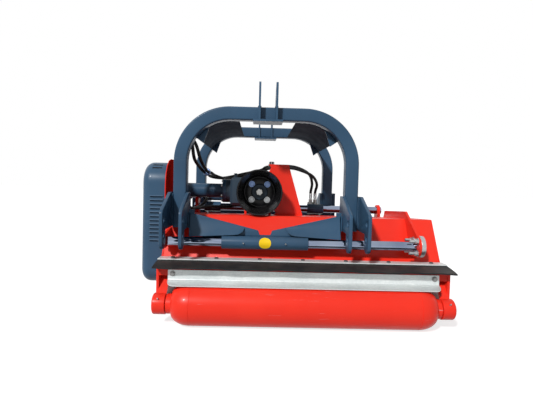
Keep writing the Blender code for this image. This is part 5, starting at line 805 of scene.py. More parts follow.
def welds():
    """Beads at the hoops' lower plates, on the deck at the right bracket and the tower, and at the lugs."""
    for name, side, hoop_y in (("hoop_near", -1, NEAR_HOOP_Y), ("hoop_far", 1, FAR_HOOP_Y)):
        y = hoop_y + side * (HOOP_TUBE / 2 + 0.001)
        for label, sign in SIDES:
            for place, reach, gap in (("inner", HOOP_HALF_WIDTH - HOOP_TUBE, 0.004),
                                      ("outer", HOOP_HALF_WIDTH, 0.010)):
                x = HEAD_X + sign * reach
                weld(f"{name}_{label}_{place}_weld", name, (x, y, HITCH_HEEL + gap),
                     (x, y, HITCH_TOP - gap + 0.001), SLATE)
    low, high = node_box("bar_bracket_right")
    for label, x in (("left", low[0] - SUNK), ("right", high[0] + SUNK)):
        weld(f"bracket_{label}_weld", "bar_bracket_right", on_deck(x, -0.244), on_deck(x, 0.108), RED)
    low, high = node_box("gearbox_tower")
    y = low[1] - SUNK
    weld("tower_weld", "gearbox_tower", on_deck(low[0] + 0.030, y), on_deck(high[0] - 0.004, y), RED)
    for name in ("top_link_bracket_near", "top_link_bracket_far"):
        low, high = node_box(name)
        middle = (low[0] + high[0]) / 2
        z = HOOP_TOP + 0.0006
        for i, offset in enumerate((-0.0475, -0.0355, 0.0355, 0.0475)):
            weld(f"{name}_weld_{i + 1}", name, (middle + offset, low[1] + 0.030, z),
                 (middle + offset, high[1] - 0.030, z), SLATE, 0.0028)


welds()


def ground_roller():
    """The roller: a barrel with a seam at each end, domes down to the necks, and journals, turned about X.

    A dome is a quarter ellipse: x = BARREL_HALF + BARREL_DOME sin t, and the radius runs from the neck's
    to the barrel's with cos t.
    """
    neck = 0.045
    dome_end = BARREL_HALF + BARREL_DOME
    neck_end = dome_end + ROLLER_NECK
    turn = np.linspace(0.0, math.pi / 2, 18)
    dome = np.stack([BARREL_HALF + BARREL_DOME * np.sin(turn),
                     neck + (BARREL_RADIUS - neck) * np.cos(turn)], -1)
    seam = [(BARREL_HALF - 0.0030, BARREL_RADIUS - 0.0001), (BARREL_HALF - 0.0018, BARREL_RADIUS - 0.0014),
            (BARREL_HALF - 0.0006, BARREL_RADIUS - 0.0014)]
    tail = [(neck_end - 0.002, neck), (neck_end, neck - 0.002), (neck_end, JOURNAL_RADIUS),
            (neck_end + JOURNAL_LENGTH, JOURNAL_RADIUS), (neck_end + JOURNAL_LENGTH, 0.0)]
    right = np.vstack([seam, dome, tail])
    profile = np.vstack([right[::-1] * (-1, 1), right])
    profile[:, 0] += HOUSING_X
    settle(turned("roller_shell", "X", ROLLER, profile, ROLLER_RED, 96, flat_angle=30), "ground_roller")


ground_roller()


def nipple(name, node, foot, direction, start):
    """A grease nipple: a tube of NIPPLE's radii along a direction, from a start beyond its foot."""
    reach = np.linspace(start, start + NIPPLE_LENGTH, len(NIPPLE))[:, None]
    added(tube_along(name, np.array(foot) + reach * np.array(direction), NIPPLE, PLATED, 12), node)


def roller_arm(name, sign):
    """An arm: a plate with a round lobe, a slanting web, and the bearing housing with its nipple.

    The housing is a profile turned about the roller's axis: a bore, a face beside the neck, and a cap.
    """
    inside = LEFT_FACE + ARM_INSET if sign < 0 else RIGHT_FACE - ARM_INSET
    front, rear = ROLLER[0] + SCRAPER_SETBACK, ROTOR_Y - 0.215
    lobe_radius, tail_height = 0.0477, 0.100
    lobe = arc_line(ROLLER, lobe_radius, -60, -288, 20)
    outline = np.vstack([lobe, [(front, ARM_TOP), (rear, ARM_TOP), (rear, ARM_TOP - tail_height)]])
    middle = inside - sign * ARM_THICKNESS / 2
    settle(plate(name + "_plate", "X", middle, outline, ARM_THICKNESS, RED), name)
    gap, length, bore, size = 0.0035, 0.0585, 0.019, 0.048
    face = BARREL_HALF + BARREL_DOME + ROLLER_NECK + gap
    cap = face + length
    profile = eased([(cap - 0.011, 0.0), (cap - 0.011, bore), (face, bore), (face, size, 0.002),
                     (cap, size, 0.008), (cap, 0.0)], 6, closed=False)
    profile[:, 0] = HOUSING_X + sign * profile[:, 0]
    added(turned(name + "_housing", "X", ROLLER, profile, RED, 64), name)
    seat, top_y = ROLLER[1] + 0.041, ROLLER[0] + 0.105
    web = [(ROLLER[0] - 0.004, seat), (ROLLER[0] + 0.005, seat - 0.002), (top_y + 0.004, ARM_TOP - 0.004),
           (top_y - 0.005, ARM_TOP)]
    span = sorted((middle, inside - sign * 0.052))
    added(carried(name + "_web", "X", web, *span, RED, 0.001), name)
    nipple_angle = 142
    turn = math.radians(nipple_angle)
    outward = np.array([0.0, math.cos(turn), math.sin(turn)])
    foot = np.array([HOUSING_X + sign * (face + 0.030), *ROLLER]) + 0.0465 * outward
    nipple(name + "_nipple", name, foot, outward, 0.0)


for side_label, side_sign in SIDES:
    roller_arm("roller_arm_" + side_label, side_sign)


def scraper():
    """The scraper: a bent line carried along X, rounded at its lower corners to quarter ellipses.

    At a distance d from the tip, each end is drawn in by W (1 - sqrt(1 - ((H - d) / H)^2)) up to H.
    """
    low, high = node_box("scraper_plate")
    y = ROLLER[0] + SCRAPER_SETBACK
    thick, wide, tall, bend_height, tip_height = 0.004, 0.036, 0.062, 0.202, 0.1905
    line = eased([(y, high[2]), (y, bend_height, 0.009), (low[1] + 0.001, tip_height)], 8, closed=False)
    fine = smooth_line(np.column_stack([line, np.zeros(len(line))]), 0.003)[:, :2]
    along = np.gradient(fine, axis=0)
    along /= np.linalg.norm(along, axis=1, keepdims=True)
    square = np.stack([-along[:, 1], along[:, 0]], -1) * thick / 2
    away = np.linalg.norm(fine - fine[-1], axis=1)
    short = np.clip((tall - away) / tall, 0.0, 1.0)
    inset = wide * (1 - np.sqrt(1 - short ** 2))
    left, right = low[0] + SUNK + inset, high[0] - SUNK - inset
    across = left[:, None] + np.linspace(0.0, 1.0, 5) * (right - left)[:, None]
    skins = [placed("X", skin[:, :1] + 0 * x, skin[:, 1:] + 0 * x, x)
             for skin, x in ((fine + square, across), (fine - square, across[:, ::-1]))]
    settle(surface("scraper_sheet", np.concatenate(skins, 1), ZINC, caps=True, flat_angle=35),
           "scraper_plate")
    places = [(x, 0.233) for x in (low[0] + 0.022, high[0] - 0.022)]
    added(heads("scraper_bolts", "Y", places, y - thick / 2, -1, 0.0095, 0.007, STEEL), "scraper_plate")


scraper()


def rubber_flap():
    """The rubber flap: two skins between the box's ends, which droop by a power of the reach and ripple.

    At a share s of the reach, the drop is D ((s - 1/4) / (3/4))^1.6 beyond the first quarter, and the
    ripple is s squared times two sines along X and a constant.
    """
    low, high = node_box("rubber_flap")
    thick, straight = 0.006, 0.25
    share = np.linspace(0.0, 1.0, 24)[:, None]
    x = np.linspace(low[0] + SUNK, high[0] - SUNK, 120)
    y = high[1] + share * (low[1] - high[1]) + 0 * x
    ripple = 0.0011 * share ** 2 * (np.sin(x * 19.0) + np.sin(x * 43.0 + 1.0)) + 0.0022 * share ** 2
    fall = high[2] - low[2] - thick - 0.005
    drop = fall * np.clip((share - straight) / (1 - straight), 0, 1) ** 1.6
    upper = np.stack([x + 0 * y, y, high[2] - drop - ripple], -1)
    loop = np.concatenate([upper, (upper - (0, 0, thick))[::-1]])
    settle(surface("flap_sheet", loop.transpose(1, 0, 2), RUBBER, caps=True), "rubber_flap")


rubber_flap()


def clamp_strip(name, axis):
    """A flat bar that clamps the rubber, with seven bolts along it on the face that looks along an axis."""
    low, high = node_box(name)
    cross, along = AXES[axis][1], AXES[axis][2]
    thick, count, pitch = 0.005, 7, 0.208
    face = low[along] + thick
    settle(block(name + "_bar", axis, (low[0], high[0]), (low[cross], high[cross]), (low[along], face),
                 ZINC, 0.001), name)
    middle = (low[cross] + high[cross]) / 2
    places = [(HOUSING_X + (i - count // 2) * pitch, middle) for i in range(count)]
    added(heads(name + "_bolts", axis, places, face, 1, 0.0095, 0.0048, IRON, washer=1.05), name)


clamp_strip("flap_strip", "Z")
clamp_strip("intake_strip", "Y")


def pto_guard():
    """The cup: a ribbed cone outside and a plain one inside, turned round the input shaft.

    The outside falls evenly from the lip's radius to the foot's, and it is a rib higher where
    sin(3.5 turns of the share - 0.6) is above 0.15.
    """
    low, high = node_box("pto_guard")
    rim, back = low[1], high[1]
    share = np.linspace(0.0, 1.0, 64)
    along = rim + 0.010 + share * (back - rim - 0.014)
    cone = CUP_RADIUS + (CUP_FOOT_RADIUS - CUP_RADIUS) * share
    rib = 0.0028 * (np.sin(share * 2 * math.pi * 3.5 - 0.6) > 0.15)
    bead = [(rim + 0.001, CUP_RADIUS - CUP_WALL), (rim, CUP_RADIUS - 0.001), (rim, CUP_RADIUS + 0.0015),
            (rim + 0.0015, CUP_RADIUS + 0.003), (rim + 0.007, CUP_RADIUS + 0.003),
            (rim + 0.0085, CUP_RADIUS + 0.001)]
    floor, inner = back - CUP_WALL, CUP_FOOT_RADIUS - 2 * CUP_WALL
    closing = [(back, CUP_FOOT_RADIUS - CUP_WALL), (back, SEAL_BORE), (floor, SEAL_BORE),
               (floor, inner - 0.006), (floor - 0.006, inner)]
    profile = np.vstack([bead, np.stack([along, cone + rib], -1), closing])
    settle(turned("cup", "Y", INPUT_CENTRE, profile, PLASTIC, 96, ring=True, flat_angle=30), "pto_guard")


pto_guard()


def clamp_face():
    """The place along Y of the clamp ring's face, which the shaft and the seal are set against."""
    return node_box("guard_clamp")[1][1] - 0.003


def clamp_ring():
    """The dark ring that clamps the cup, with four bolts on an 85 mm square: two blued, two plated."""
    face = clamp_face()
    back = node_box("guard_clamp")[1][1]
    ring = [(face, SEAL_BORE), (face, CLAMP_RADIUS - 0.002), (face + 0.001, CLAMP_RADIUS),
            (back, CLAMP_RADIUS), (back, SEAL_BORE)]
    settle(turned("clamp_ring", "Y", INPUT_CENTRE, ring, PLASTIC, 64, ring=True), "guard_clamp")
    for label, rise, finish in (("upper", CLAMP_BOLT_PLACE, BLUED), ("lower", -CLAMP_BOLT_PLACE, PLATED)):
        places = [(GEARBOX_X + x, GEARBOX_HEIGHT + rise) for x in (-CLAMP_BOLT_PLACE, CLAMP_BOLT_PLACE)]
        added(heads(f"clamp_{label}_bolts", "Y", places, face, -1, 0.0125, 0.010, finish), "guard_clamp")


clamp_ring()


def input_shaft():
    """The crown gear cut off behind the clamp ring, and in front of it the splined end.

    A spline's radius is the shaft's, less the depth where sin(splines * angle) is above 0.1.
    """
    face = clamp_face()
    start, stop = node_box("input_shaft")[0][1], face + 0.004
    gear = edged_copy("crown_gear", "input_shaft", STEEL, 0.001, 1)
    shape = bmesh.new()
    shape.from_mesh(gear.data)
    whole = shape.verts[:] + shape.edges[:] + shape.faces[:]
    bmesh.ops.bisect_plane(shape, geom=whole, plane_co=(0, stop, 0), plane_no=(0, -1, 0), clear_outer=True)
    bmesh.ops.holes_fill(shape, edges=shape.edges[:])
    shape.to_mesh(gear.data)
    shape.free()
    settle(gear, "input_shaft")
    splined, run_out = 0.062, 0.004
    angle = round_turn(SPLINES * 12)
    wave = SPLINE_RADIUS - SPLINE_DEPTH * (np.sin(angle * SPLINES) > 0.1)
    along = np.array([[start], [start + 0.002], [start + splined], [start + splined + run_out],
                      [stop + 0.001]])
    scale = np.array([[0.93], [1.0], [1.0], [0.0], [0.0]])
    ring = np.where(scale > 0, wave * scale, SPLINE_RADIUS + 0 * angle)
    grid = placed("Y", GEARBOX_X + ring * np.cos(angle), GEARBOX_HEIGHT + ring * np.sin(angle),
                  along + 0 * angle)
    added(surface("shaft_splines", grid, STEEL, caps=True, flat_angle=30), "input_shaft")
    bore, size, front, back = 0.019, 0.0445, face - 0.018, face + 0.02
    boss = [(front, bore), (front, size - 0.0045), (front + 0.004, size), (back, size), (back, bore)]
    added(turned("seal_housing", "Y", INPUT_CENTRE, boss, DARKER_SLATE, 48, ring=True), "gearbox_case")


input_shaft()


def bolt_circle(centre, radius, count, start):
    """Cross places at even angles round a centre, from a start angle in degrees."""
    turn = np.radians(np.arange(count) * 360.0 / count + start)
    return [(centre[0] + radius * math.cos(a), centre[1] + radius * math.sin(a)) for a in turn]


def gearbox():
    """The cast case with its cover's bolts, and the output tube, turned with a flange at each end."""
    settle(edged_copy("gearbox_casting", "gearbox_case", DARKER_SLATE, 0.004, 3), "gearbox_case")
    right = node_box("output_tube")[1][0]
    inner, outer, bore, flange, wide = LEFT_FACE + 0.010, right - 0.020, 0.036, 0.0675, 0.040
    profile = eased([(LEFT_FACE, bore), (LEFT_FACE, flange, 0.001), (inner, flange, 0.001),
                     (inner, wide, 0.003), (outer, wide, 0.003), (outer, flange, 0.001),
                     (right, flange, 0.001), (right, bore)], 3)
    settle(turned("output_housing", "X", OUTPUT_CENTRE, profile, SLATE, 64, ring=True), "output_tube")
    flange_bolts, cover_bolts = 0.056, 0.048
    places = bolt_circle(OUTPUT_CENTRE, flange_bolts, 6, 30.0)
    added(heads("output_bolts", "X", places, outer, -1, 0.008, 0.007, STEEL), "output_tube")
    places = bolt_circle(OUTPUT_CENTRE, cover_bolts, 6, 30.0)
    cover = node_box("gearbox_case")[1][0]
    added(heads("cover_bolts", "X", places, cover, 1, 0.007, 0.006, STEEL), "gearbox_case")


gearbox()


def tower():
    """A part ring that closes the tower plate's hollow up to the cup's foot, and the tab's bright bolt."""
    low, high = node_box("gearbox_tower")
    start, end, inner, outer = -50, 66, 0.104, 0.151
    sector = np.vstack([arc_line(INPUT_CENTRE, inner, start, end, 30),
                        arc_line(INPUT_CENTRE, outer, end, start, 30)])
    added(carried("tower_infill", "Y", sector, low[1], low[1] + 0.008, RED, 0.0008), "gearbox_tower")
    place = (GEARBOX_X + 0.0647, SHAFT_Y - 0.0800)
    added(heads("tie_bolt_head", "Z", [place], high[2], 1, 0.0140, 0.0148, PLATED), "gearbox_case")


tower()


def belt_guard():
    """The guard: a rounded rectangle drawn in by r(1 - cos t) while it comes out by r sin t at its edge."""
    low, high = node_box("belt_guard")
    face = low[0] + BOLT_STAND
    top, bottom, edge, wall = 0.110, 0.080, 0.045, 0.003

    def ring(x, inset):
        """The outline drawn in by an inset, at a place along X."""
        a, b = low[1] + inset, high[1] - inset
        c, d = low[2] + inset, high[2] - inset
        corners = [(b, d, top), (a, d, top), (a, c, bottom), (b, c, bottom)]
        line = eased([(u, v, size - inset) for u, v, size in corners], 12)
        return placed("X", line[:, 0], line[:, 1], x + 0 * line[:, 0])

    rows = [ring(face + wall, edge + 0.001), ring(face + edge, wall), ring(high[0], wall),
            ring(high[0], 0.0)]
    rows += [ring(face + edge * (1 - math.sin(t)), edge * (1 - math.cos(t)))
             for t in np.radians(np.linspace(0, 90, 10))]
    rows.append(ring(face, edge + 0.001))
    settle(surface("guard_shell", np.array(rows), SLATE, caps=True, flat_angle=35), "belt_guard")
    places = [(y, z) for y in (low[1] + 0.120, high[1] - 0.120) for z in (low[2] + 0.100, high[2] - 0.100)]
    added(heads("guard_bolts", "X", places, face, -1, 0.0075, 0.001, PLATED, washer=1.5), "belt_guard")


belt_guard()


def louvres():
    """Pressed louvres: a slot of painted shade, a black block, under a half-round lip, twelve down the near
    face and two at the top.

    A top slot lies where the guard's corner has come round by then: y = r - sqrt(r^2 - (r - depth)^2).
    """
    low, high = node_box("belt_guard")
    left, width, corner = low[0] + 0.050, 0.062, 0.110
    count, first, pitch = 12, 0.580, 0.0205
    for i in range(count):
        z = first - i * pitch
        # Each slot is a black block of painted shade on the guard's face.
        added(block(f"louvre_slot_painted_shade_{i + 1}", "X", (low[1] - 0.0006, low[1] + 0.004), (z - 0.0085, z),
                    (left, left + width), SHADE), "belt_guard")
        lip = np.vstack([arc_line((low[1] + 0.001, z - 0.001), 0.0055, 90, 200, 6),
                         [(low[1] + 0.003, z - 0.002), (low[1] + 0.003, z + 0.003)]])
        added(carried(f"louvre_lip_{i + 1}", "X", lip, left - 0.003, left + width + 0.003, SLATE),
              "belt_guard")
    for i in range(2):
        z = high[2] - 0.016 - i * 0.0145
        y = low[1] + corner - math.sqrt(corner ** 2 - (corner - (high[2] - z)) ** 2)
        slot = [(y - 0.0035, z - 0.004), (y + 0.010, z - 0.004), (y + 0.010, z + 0.003),
                (y + 0.0005, z + 0.003)]
        added(carried(f"top_louvre_painted_shade_{i + 1}", "X", slot, left, left + width * 0.8, SHADE), "belt_guard")


louvres()


def slide_bars():
    """The chromed bars, turned: the near one with its necked left end and nut, both with chamfered ends."""
    low, high = node_box("slide_bar_near")[0][0], node_box("slide_bar_near")[1][0]
    bracket = node_box("bar_bracket_left")[1][0] + 0.0003
    nut, neck, chamfer = 0.016, 0.010, 0.001
    right = [(high - chamfer, BAR_RADIUS), (high, BAR_RADIUS - chamfer), (high, 0.0)]
    bar = [(low, 0.0), (low, nut), (low + 0.018, nut), (low + 0.018, neck), (bracket, neck),
           (bracket, BAR_RADIUS - chamfer), (bracket + 0.0012, BAR_RADIUS), *right]
    settle(turned("near_bar", "X", NEAR_BAR, bar, CHROME_PAINTED_SKY_BLUE, 64), "slide_bar_near")
    low, high = node_box("slide_bar_far")[0][0], node_box("slide_bar_far")[1][0]
    bar = [(low, 0.0), (low, BAR_RADIUS - chamfer), (low + chamfer, BAR_RADIUS),
           (high - chamfer, BAR_RADIUS), (high, BAR_RADIUS - chamfer), (high, 0.0)]
    settle(turned("far_bar", "X", FAR_BAR, bar, CHROME_PAINTED_SKY_BLUE, 64), "slide_bar_far")


slide_bars()


def bar_flange():
    """The near bar's flange: a turned ring, with four studs through it and nuts on the bracket's face."""
    low, high = node_box("slide_bar_flange")
    face, bore, size, stud = high[0] - 0.022, BAR_RADIUS + 0.0003, 0.0525, 0.0078
    ring = eased([(face, bore), (face, size, 0.002), (high[0], size, 0.003), (high[0], bore)], 3)
    settle(turned("bar_flange", "X", NEAR_BAR, ring, PLATED, 64, ring=True), "slide_bar_flange")
    places = bolt_circle(NEAR_BAR, 0.040, 4, 45.0)
    for i, place in enumerate(places):
        shank = [(low[0], 0.0), (low[0], 0.006), (low[0] + 0.002, stud), (face + 0.004, stud),
                 (face + 0.004, 0.0)]
        added(turned(f"flange_stud_{i + 1}", "X", place, shank, PLATED, 20), "slide_bar_flange")
    bracket = node_box("bar_bracket_right")[0][0] - 0.0003
    added(heads("flange_nuts", "X", places, bracket, -1, 0.0125, 0.0135, PLATED), "slide_bar_flange")


bar_flange()

# The saddle's back on the sleeve along Y, and how far the wings reach to each side
SADDLE = NEAR_BAR[0] + BAR_RADIUS + 0.0015
WING_REACH = HOOP_HALF_WIDTH - HOOP_TUBE - HITCH_THICKNESS - 0.0006


def near_sleeve():
    """The sleeve on the near bar, and the flat wings: an outline mirrored about the headstock's middle."""
    bore = BAR_RADIUS + 0.0004
    sleeve = eased([(-SLEEVE_HALF, bore), (-SLEEVE_HALF, SLEEVE_RADIUS, 0.0025),
                    (SLEEVE_HALF, SLEEVE_RADIUS, 0.0025), (SLEEVE_HALF, bore)], 4)
    sleeve[:, 0] += HEAD_X
    settle(turned("sleeve", "X", NEAR_BAR, sleeve, SLATE, 64, ring=True), "carriage_near")
    tip = WING_REACH - 0.006
    right = [(SLEEVE_HALF, 0.376), (tip, 0.400), (tip, 0.508), (0.034, 0.427), (0.0255, 0.405)]
    outline = eased([(x, z, 0.004) for x, z in right + [(-x, z) for x, z in reversed(right)]], 4)
    outline[:, 0] += HEAD_X
    added(plate("wings", "Y", SADDLE + 0.005, outline, 0.010, SLATE), "carriage_near")


near_sleeve()


def wing_skirt(label, sign):
    """A skirt that slants out below a wing's upper edge, between a curved start and the wing's end.

    With t = sqrt(1 - (1 - distance / 45 mm)^2) near the start and 1 beyond, it falls by t (30 mm + 78 mm
    of the share), and comes forward by 36 mm t s^1.5 at a share s of its fall.
    """
    start, curve, thick, edge, slope = 0.100, 0.045, 0.006, 0.4395, 0.238
    share = np.linspace(0.0, 1.0, 40)
    x = start + share * (WING_REACH - start - 0.012)
    tip = np.sqrt(np.clip(1 - np.clip(1 - (x - start) / curve, 0, 1) ** 2, 0, 1))
    top = edge + (x - start) * slope
    foot = top - (0.030 + 0.078 * share) * tip
    fall = np.linspace(0.0, 1.0, 10)[:, None]
    y = SADDLE - 0.001 - 0.036 * tip * fall ** 1.5
    front = np.stack([HEAD_X + sign * x + 0 * fall, y, top + (foot - top) * fall], -1)
    grid = np.concatenate([front, (front + (0, thick, 0))[::-1]]).transpose(1, 0, 2)
    added(surface(f"wing_skirt_{label}", grid, SLATE, caps=True), "carriage_near")


def wing_ends(label, sign):
    """The plate that ties a wing's end to the hoop's leg, and the tab on the wing's upper corner."""
    reach = HEAD_X + sign * WING_REACH
    added(block(f"end_plate_{label}", "X", (SADDLE, NEAR_HOOP_Y + HOOP_TUBE / 2), (0.432, 0.508),
                (reach - sign * 0.012, reach), SLATE, 0.001), "carriage_near")
    tab = sorted((reach - sign * 0.004, reach - sign * 0.030))
    added(block(f"wing_tab_{label}", "Y", tab, (0.500, 0.522), (SADDLE + 0.001, SADDLE + 0.009),
                SLATE, 0.001), "carriage_near")


for side_label, side_sign in SIDES:
    wing_skirt(side_label, side_sign)
    wing_ends(side_label, side_sign)


def sleeve_fittings():
    """The yellow disc wrapped round the sleeve, and its two grease nipples.

    The disc's point at an angle a lies W cos a along X and W sin a round the sleeve, 5 degrees up.
    """
    disc, thick = 0.0285, 0.0011
    angle = round_turn(48)
    wide = np.array([0.0, 0.5, 1.0, 1.0, 0.5, 0.0])[:, None] * disc
    ring = SLEEVE_RADIUS + 0.0002 + np.array([1.0, 1.0, 1.0, 0.0, 0.0, 0.0])[:, None] * thick
    height = math.radians(5) + wide * np.sin(angle) / SLEEVE_RADIUS
    grid = np.stack([HEAD_X + wide * np.cos(angle), NEAR_BAR[0] - ring * np.cos(height),
                     NEAR_BAR[1] + ring * np.sin(height)], -1)
    added(surface("yellow_disc", grid, YELLOW), "carriage_near")
    for i, x in enumerate((-0.103, 0.098)):
        foot = (HEAD_X + x, NEAR_BAR[0] - SLEEVE_RADIUS, NEAR_BAR[1] + 0.001)
        nipple(f"sleeve_nipple_{i + 1}", "carriage_near", foot, (0.0, -1.0, 0.1), -0.002)


sleeve_fittings()


def hose(name, places):
    """A hose: a smooth curve through its places, which are measured from the headstock's middle.

    Each end has a crimped ferrule, whose radius ripples by a cosine along it.
    """
    line = smooth_line([(HEAD_X + x, HEAD_Y + y, z) for x, y, z in places], 0.008)
    settle(tube_along(name + "_tube", line, HOSE_RADIUS, RUBBER, 20), name)
    for label, end in (("start", line[:6]), ("end", line[::-1][:6])):
        ferrule = smooth_line(end, 0.003)
        ripple = FERRULE_RADIUS + FERRULE_RIPPLE * np.cos(np.arange(len(ferrule)) * 2.1)
        ripple[:2], ripple[-2:] = 0.0098, 0.0095
        added(tube_along(f"{name}_{label}_ferrule", ferrule, ripple, PLATED, 20), name)


def hoses():
    """The two hoses, from the side-shift cylinder past the near leg and over to the couplings."""
    barrel_low, barrel_high = node_box("cylinder_barrel")
    gland, cap = barrel_low[0] + 0.032 - HEAD_X, barrel_high[0] - 0.052 - HEAD_X
    port = FAR_BAR[0] - HEAD_Y - 0.037
    end = (node_box("coupling_rack")[0][1] + 0.014) - HEAD_Y
    first, second, level, top = 0.311, 0.341, 0.567, 0.564
    line_a = [
        (gland, port, level), (gland, port - 0.022, level), (gland - 0.010, port - 0.058, 0.535),
        (-0.392, 0.050, 0.510), (-0.415, -0.080, 0.507), (-0.428, -0.200, 0.518), (-0.440, -0.275, 0.575),
        (-0.446, -0.293, 0.680), (-0.445, -0.295, 0.800), (-0.434, -0.295, 0.862), (-0.406, -0.295, 0.887),
        (-0.384, -0.292, 0.848), (-0.378, -0.237, 0.775), (-0.358, -0.092, 0.725), (-0.338, -0.012, 0.705),
        (-0.319, 0.067, 0.690), (-0.262, 0.127, 0.685), (-0.197, 0.157, 0.698), (-0.130, 0.157, 0.715),
        (-0.027, 0.157, 0.740), (0.018, 0.157, 0.763), (0.144, 0.157, 0.770), (0.217, 0.157, 0.757),
        (0.281, 0.177, 0.722), (first, 0.262, 0.666), (first, end, 0.610), (first, end, top),
    ]
    line_b = [
        (cap, port, level), (cap, port - 0.022, level), (cap - 0.024, port - 0.050, 0.535),
        (-0.215, 0.093, 0.512), (-0.300, 0.080, 0.510), (-0.362, 0.020, 0.508), (-0.391, -0.080, 0.507),
        (-0.406, -0.190, 0.518), (-0.424, -0.253, 0.575), (-0.440, -0.271, 0.680), (-0.443, -0.273, 0.800),
        (-0.431, -0.273, 0.862), (-0.400, -0.273, 0.887), (-0.368, -0.270, 0.850), (-0.347, -0.226, 0.772),
        (-0.332, -0.089, 0.722), (-0.315, -0.012, 0.711), (-0.298, 0.056, 0.697), (-0.250, 0.107, 0.683),
        (-0.193, 0.137, 0.688), (-0.126, 0.137, 0.703), (-0.023, 0.137, 0.728), (0.022, 0.137, 0.751),
        (0.148, 0.137, 0.758), (0.221, 0.137, 0.745), (0.298, 0.156, 0.712), (second, 0.250, 0.662),
        (second, end, 0.610), (second, end, top),
    ]
    hose("hose_a", line_a)
    hose("hose_b", line_b)


hoses()


def hose_clip():
    """The blued clip round both hoses beside the gearbox: a short tube along them, eased at its ends."""
    middle = np.array([HEAD_X - 0.3360, HEAD_Y - 0.051, 0.7150])
    length, wide, end = np.array([0.004, 0.016, -0.003]), 0.0215, 0.0195
    line = middle + np.linspace(-0.5, 0.5, 5)[:, None] * length
    added(tube_along("hose_clip", line, (end, wide, wide, wide, end), BLUED, 24), "hose_a")


hose_clip()


def cylinder():
    """The side-shift cylinder: a bored barrel with its gland and ports, and the chromed rod with its eye.

    The barrel is one turned profile: up the bore, over the gland, along the outside, and round the pin.
    """
    low, high = node_box("cylinder_barrel")
    centre = (FAR_BAR[0], (low[2] + high[2]) / 2)
    start, stop, gland, cap = low[0], high[0] - 0.020, low[0] + 0.024, high[0] - 0.045
    room, rod, tube, collar, pin = 0.0207, 0.0132, 0.0238, 0.025, 0.010
    profile = [(cap, 0.0), (cap, room), (gland, room), (gland, rod), (start, rod),
               (start, collar - 0.0015), (start + 0.0015, collar), (gland - 0.002, collar),
               (gland, tube), (stop - 0.024, tube), (stop - 0.022, collar), (stop - 0.0015, collar),
               (stop, collar - 0.0015), (stop, pin), (high[0] - 0.001, pin), (high[0], pin - 0.001),
               (high[0], 0.0)]
    settle(turned("barrel", "X", centre, profile, SLATE, 48), "cylinder_barrel")
    front, size = centre[0] - 0.035, 0.012
    port = [(front, 0.0), (front, size - 0.0015), (front + 0.001, size), (front + 0.013, size),
            (front + 0.013, 0.0)]
    for i, x in enumerate((start + 0.032, stop - 0.032)):
        added(turned(f"barrel_port_{i + 1}", "Y", (x, centre[1]), port, SLATE, 24), "cylinder_barrel")
    settle(edged_copy("rod_and_eye", "cylinder_rod", CHROME_PAINTED_SKY_BLUE, 0.0), "cylinder_rod")


cylinder()

# Nodes whose own shape is kept and gets rounded edges: the finish, the rounding and the names
EDGED = (
    (RED, 0.0020, ("side_plate_left", "side_plate_right", "skid_left", "skid_right", "bar_bracket_left",
                   "bar_bracket_right", "far_bar_block_left", "far_bar_block_right", "gearbox_tower")),
    (RED, 0.0015, ("hood_shell", "scraper_rail")),
    (DARKER_MATT_RED, 0.0015, ("belt_back_plate",)),
    (RED, 0.0015, ("gearbox_base", "rotor")),
    (SLATE, 0.0015, ("carriage_far", "top_link_bracket_near", "top_link_bracket_far")),
    (STEEL, 0.0015, ("counter_blade", "coupling_rack", "cross_shaft")),
    (PLATED, 0.0015, ("top_link_pin",)),
    (IRON, 0.0015, ("rotor_bearing_left", "rotor_bearing_right", "rotor_pulley", "gearbox_pulley")),
    (IRON, 0.0015, tuple(f"flail_{i + 1}" for i in range(8))),
    (RUBBER, 0.0010, ("intake_curtain", "drive_belt")),
)
for edged_material, edge_width, edged_nodes in EDGED:
    for edged_node in edged_nodes:
        settle(edged_copy(edged_node + "_edged", edged_node, edged_material, edge_width), edged_node)


def seen_directly(tree):
    """1 for rays from the camera, from mirrors and through glass, and 0 for the rays that give light."""
    ray = add_node(tree, "ShaderNodeLightPath")
    seen = maths(tree, "MAXIMUM", ray.outputs["Is Camera Ray"], ray.outputs["Is Glossy Ray"])
    return maths(tree, "MAXIMUM", seen, ray.outputs["Is Transmission Ray"])


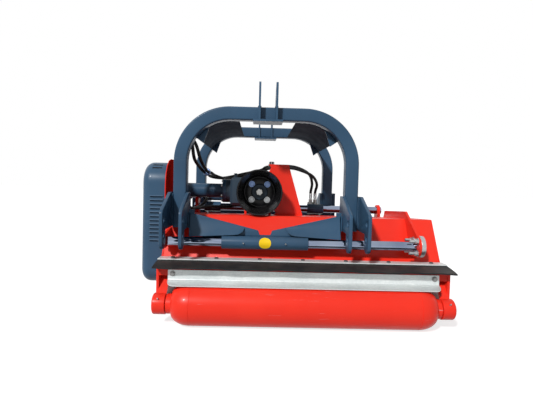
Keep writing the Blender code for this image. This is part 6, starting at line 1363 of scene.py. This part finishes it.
def make_stage():
    """A pale floor: it takes the object's shadow, and its own glow makes it white to camera and mirrors."""
    data = bpy.data.meshes.new("floor")
    reach, level = FLOOR_REACH, cad_box[0].z
    corners = [(x * reach, y * reach, level) for x, y in ((-1, -1), (1, -1), (1, 1), (-1, 1))]
    data.from_pydata(corners, [], [(0, 1, 2, 3)])
    floor = add_object("floor", data)
    made = bpy.data.materials.new("pale_floor")
    made.use_nodes = True
    tree = made.node_tree
    shader = tree.nodes["Principled BSDF"]
    shader.inputs["Base Color"].default_value = FLOOR_COLOUR
    shader.inputs["Roughness"].default_value = FLOOR_ROUGHNESS
    shader.inputs["Emission Color"].default_value = WHITE
    glow = maths(tree, "MULTIPLY", seen_directly(tree), FLOOR_GLOW)
    tree.links.new(glow, shader.inputs["Emission Strength"])
    data.materials.append(made)


def make_light():
    """A broad sun from the upper left front, and a sky that is white to the camera and to mirrors."""
    lamp = bpy.data.lights.new("sun", "SUN")
    lamp.energy = SUN_STRENGTH
    lamp.angle = math.radians(SUN_SPREAD)
    sun = add_object("sun", lamp)
    sun.rotation_mode = "QUATERNION"
    sun.rotation_quaternion = Vector(SUN_DIRECTION).to_track_quat("-Z", "Y")
    world = bpy.data.worlds.new("studio")
    bpy.context.scene.world = world
    world.use_nodes = True
    tree = world.node_tree
    tree.nodes.clear()
    out = tree.nodes.new("ShaderNodeOutputWorld")
    seen = seen_directly(tree)
    white = add_node(tree, "ShaderNodeBackground", {"Color": WHITE, "Strength": 1.0})
    soft = add_node(tree, "ShaderNodeBackground", {"Color": SKY_COLOUR, "Strength": SKY_STRENGTH})
    both = add_node(tree, "ShaderNodeMixShader", {0: seen, 1: soft.outputs[0], 2: white.outputs[0]})
    tree.links.new(both.outputs[0], out.inputs["Surface"])


def make_camera():
    """The camera at the picture's place, looking along +Y with its yaw, pitch and roll."""
    data = bpy.data.cameras.new("camera")
    data.sensor_width = SENSOR_WIDTH
    data.lens = FOCAL_PIXELS / PICTURE_WIDTH * SENSOR_WIDTH
    data.clip_end = VIEW_REACH
    camera = add_object("camera", data)
    camera.location = CAMERA_PLACE
    turn = (Matrix.Rotation(math.radians(CAMERA_YAW), 3, "Z")
            @ Matrix.Rotation(math.radians(90 + CAMERA_PITCH), 3, "X")
            @ Matrix.Rotation(math.radians(CAMERA_ROLL), 3, "Z"))
    camera.rotation_euler = turn.to_euler()
    bpy.context.scene.camera = camera


make_stage()
make_light()
make_camera()
bpy.context.scene.view_settings.view_transform = "Standard"
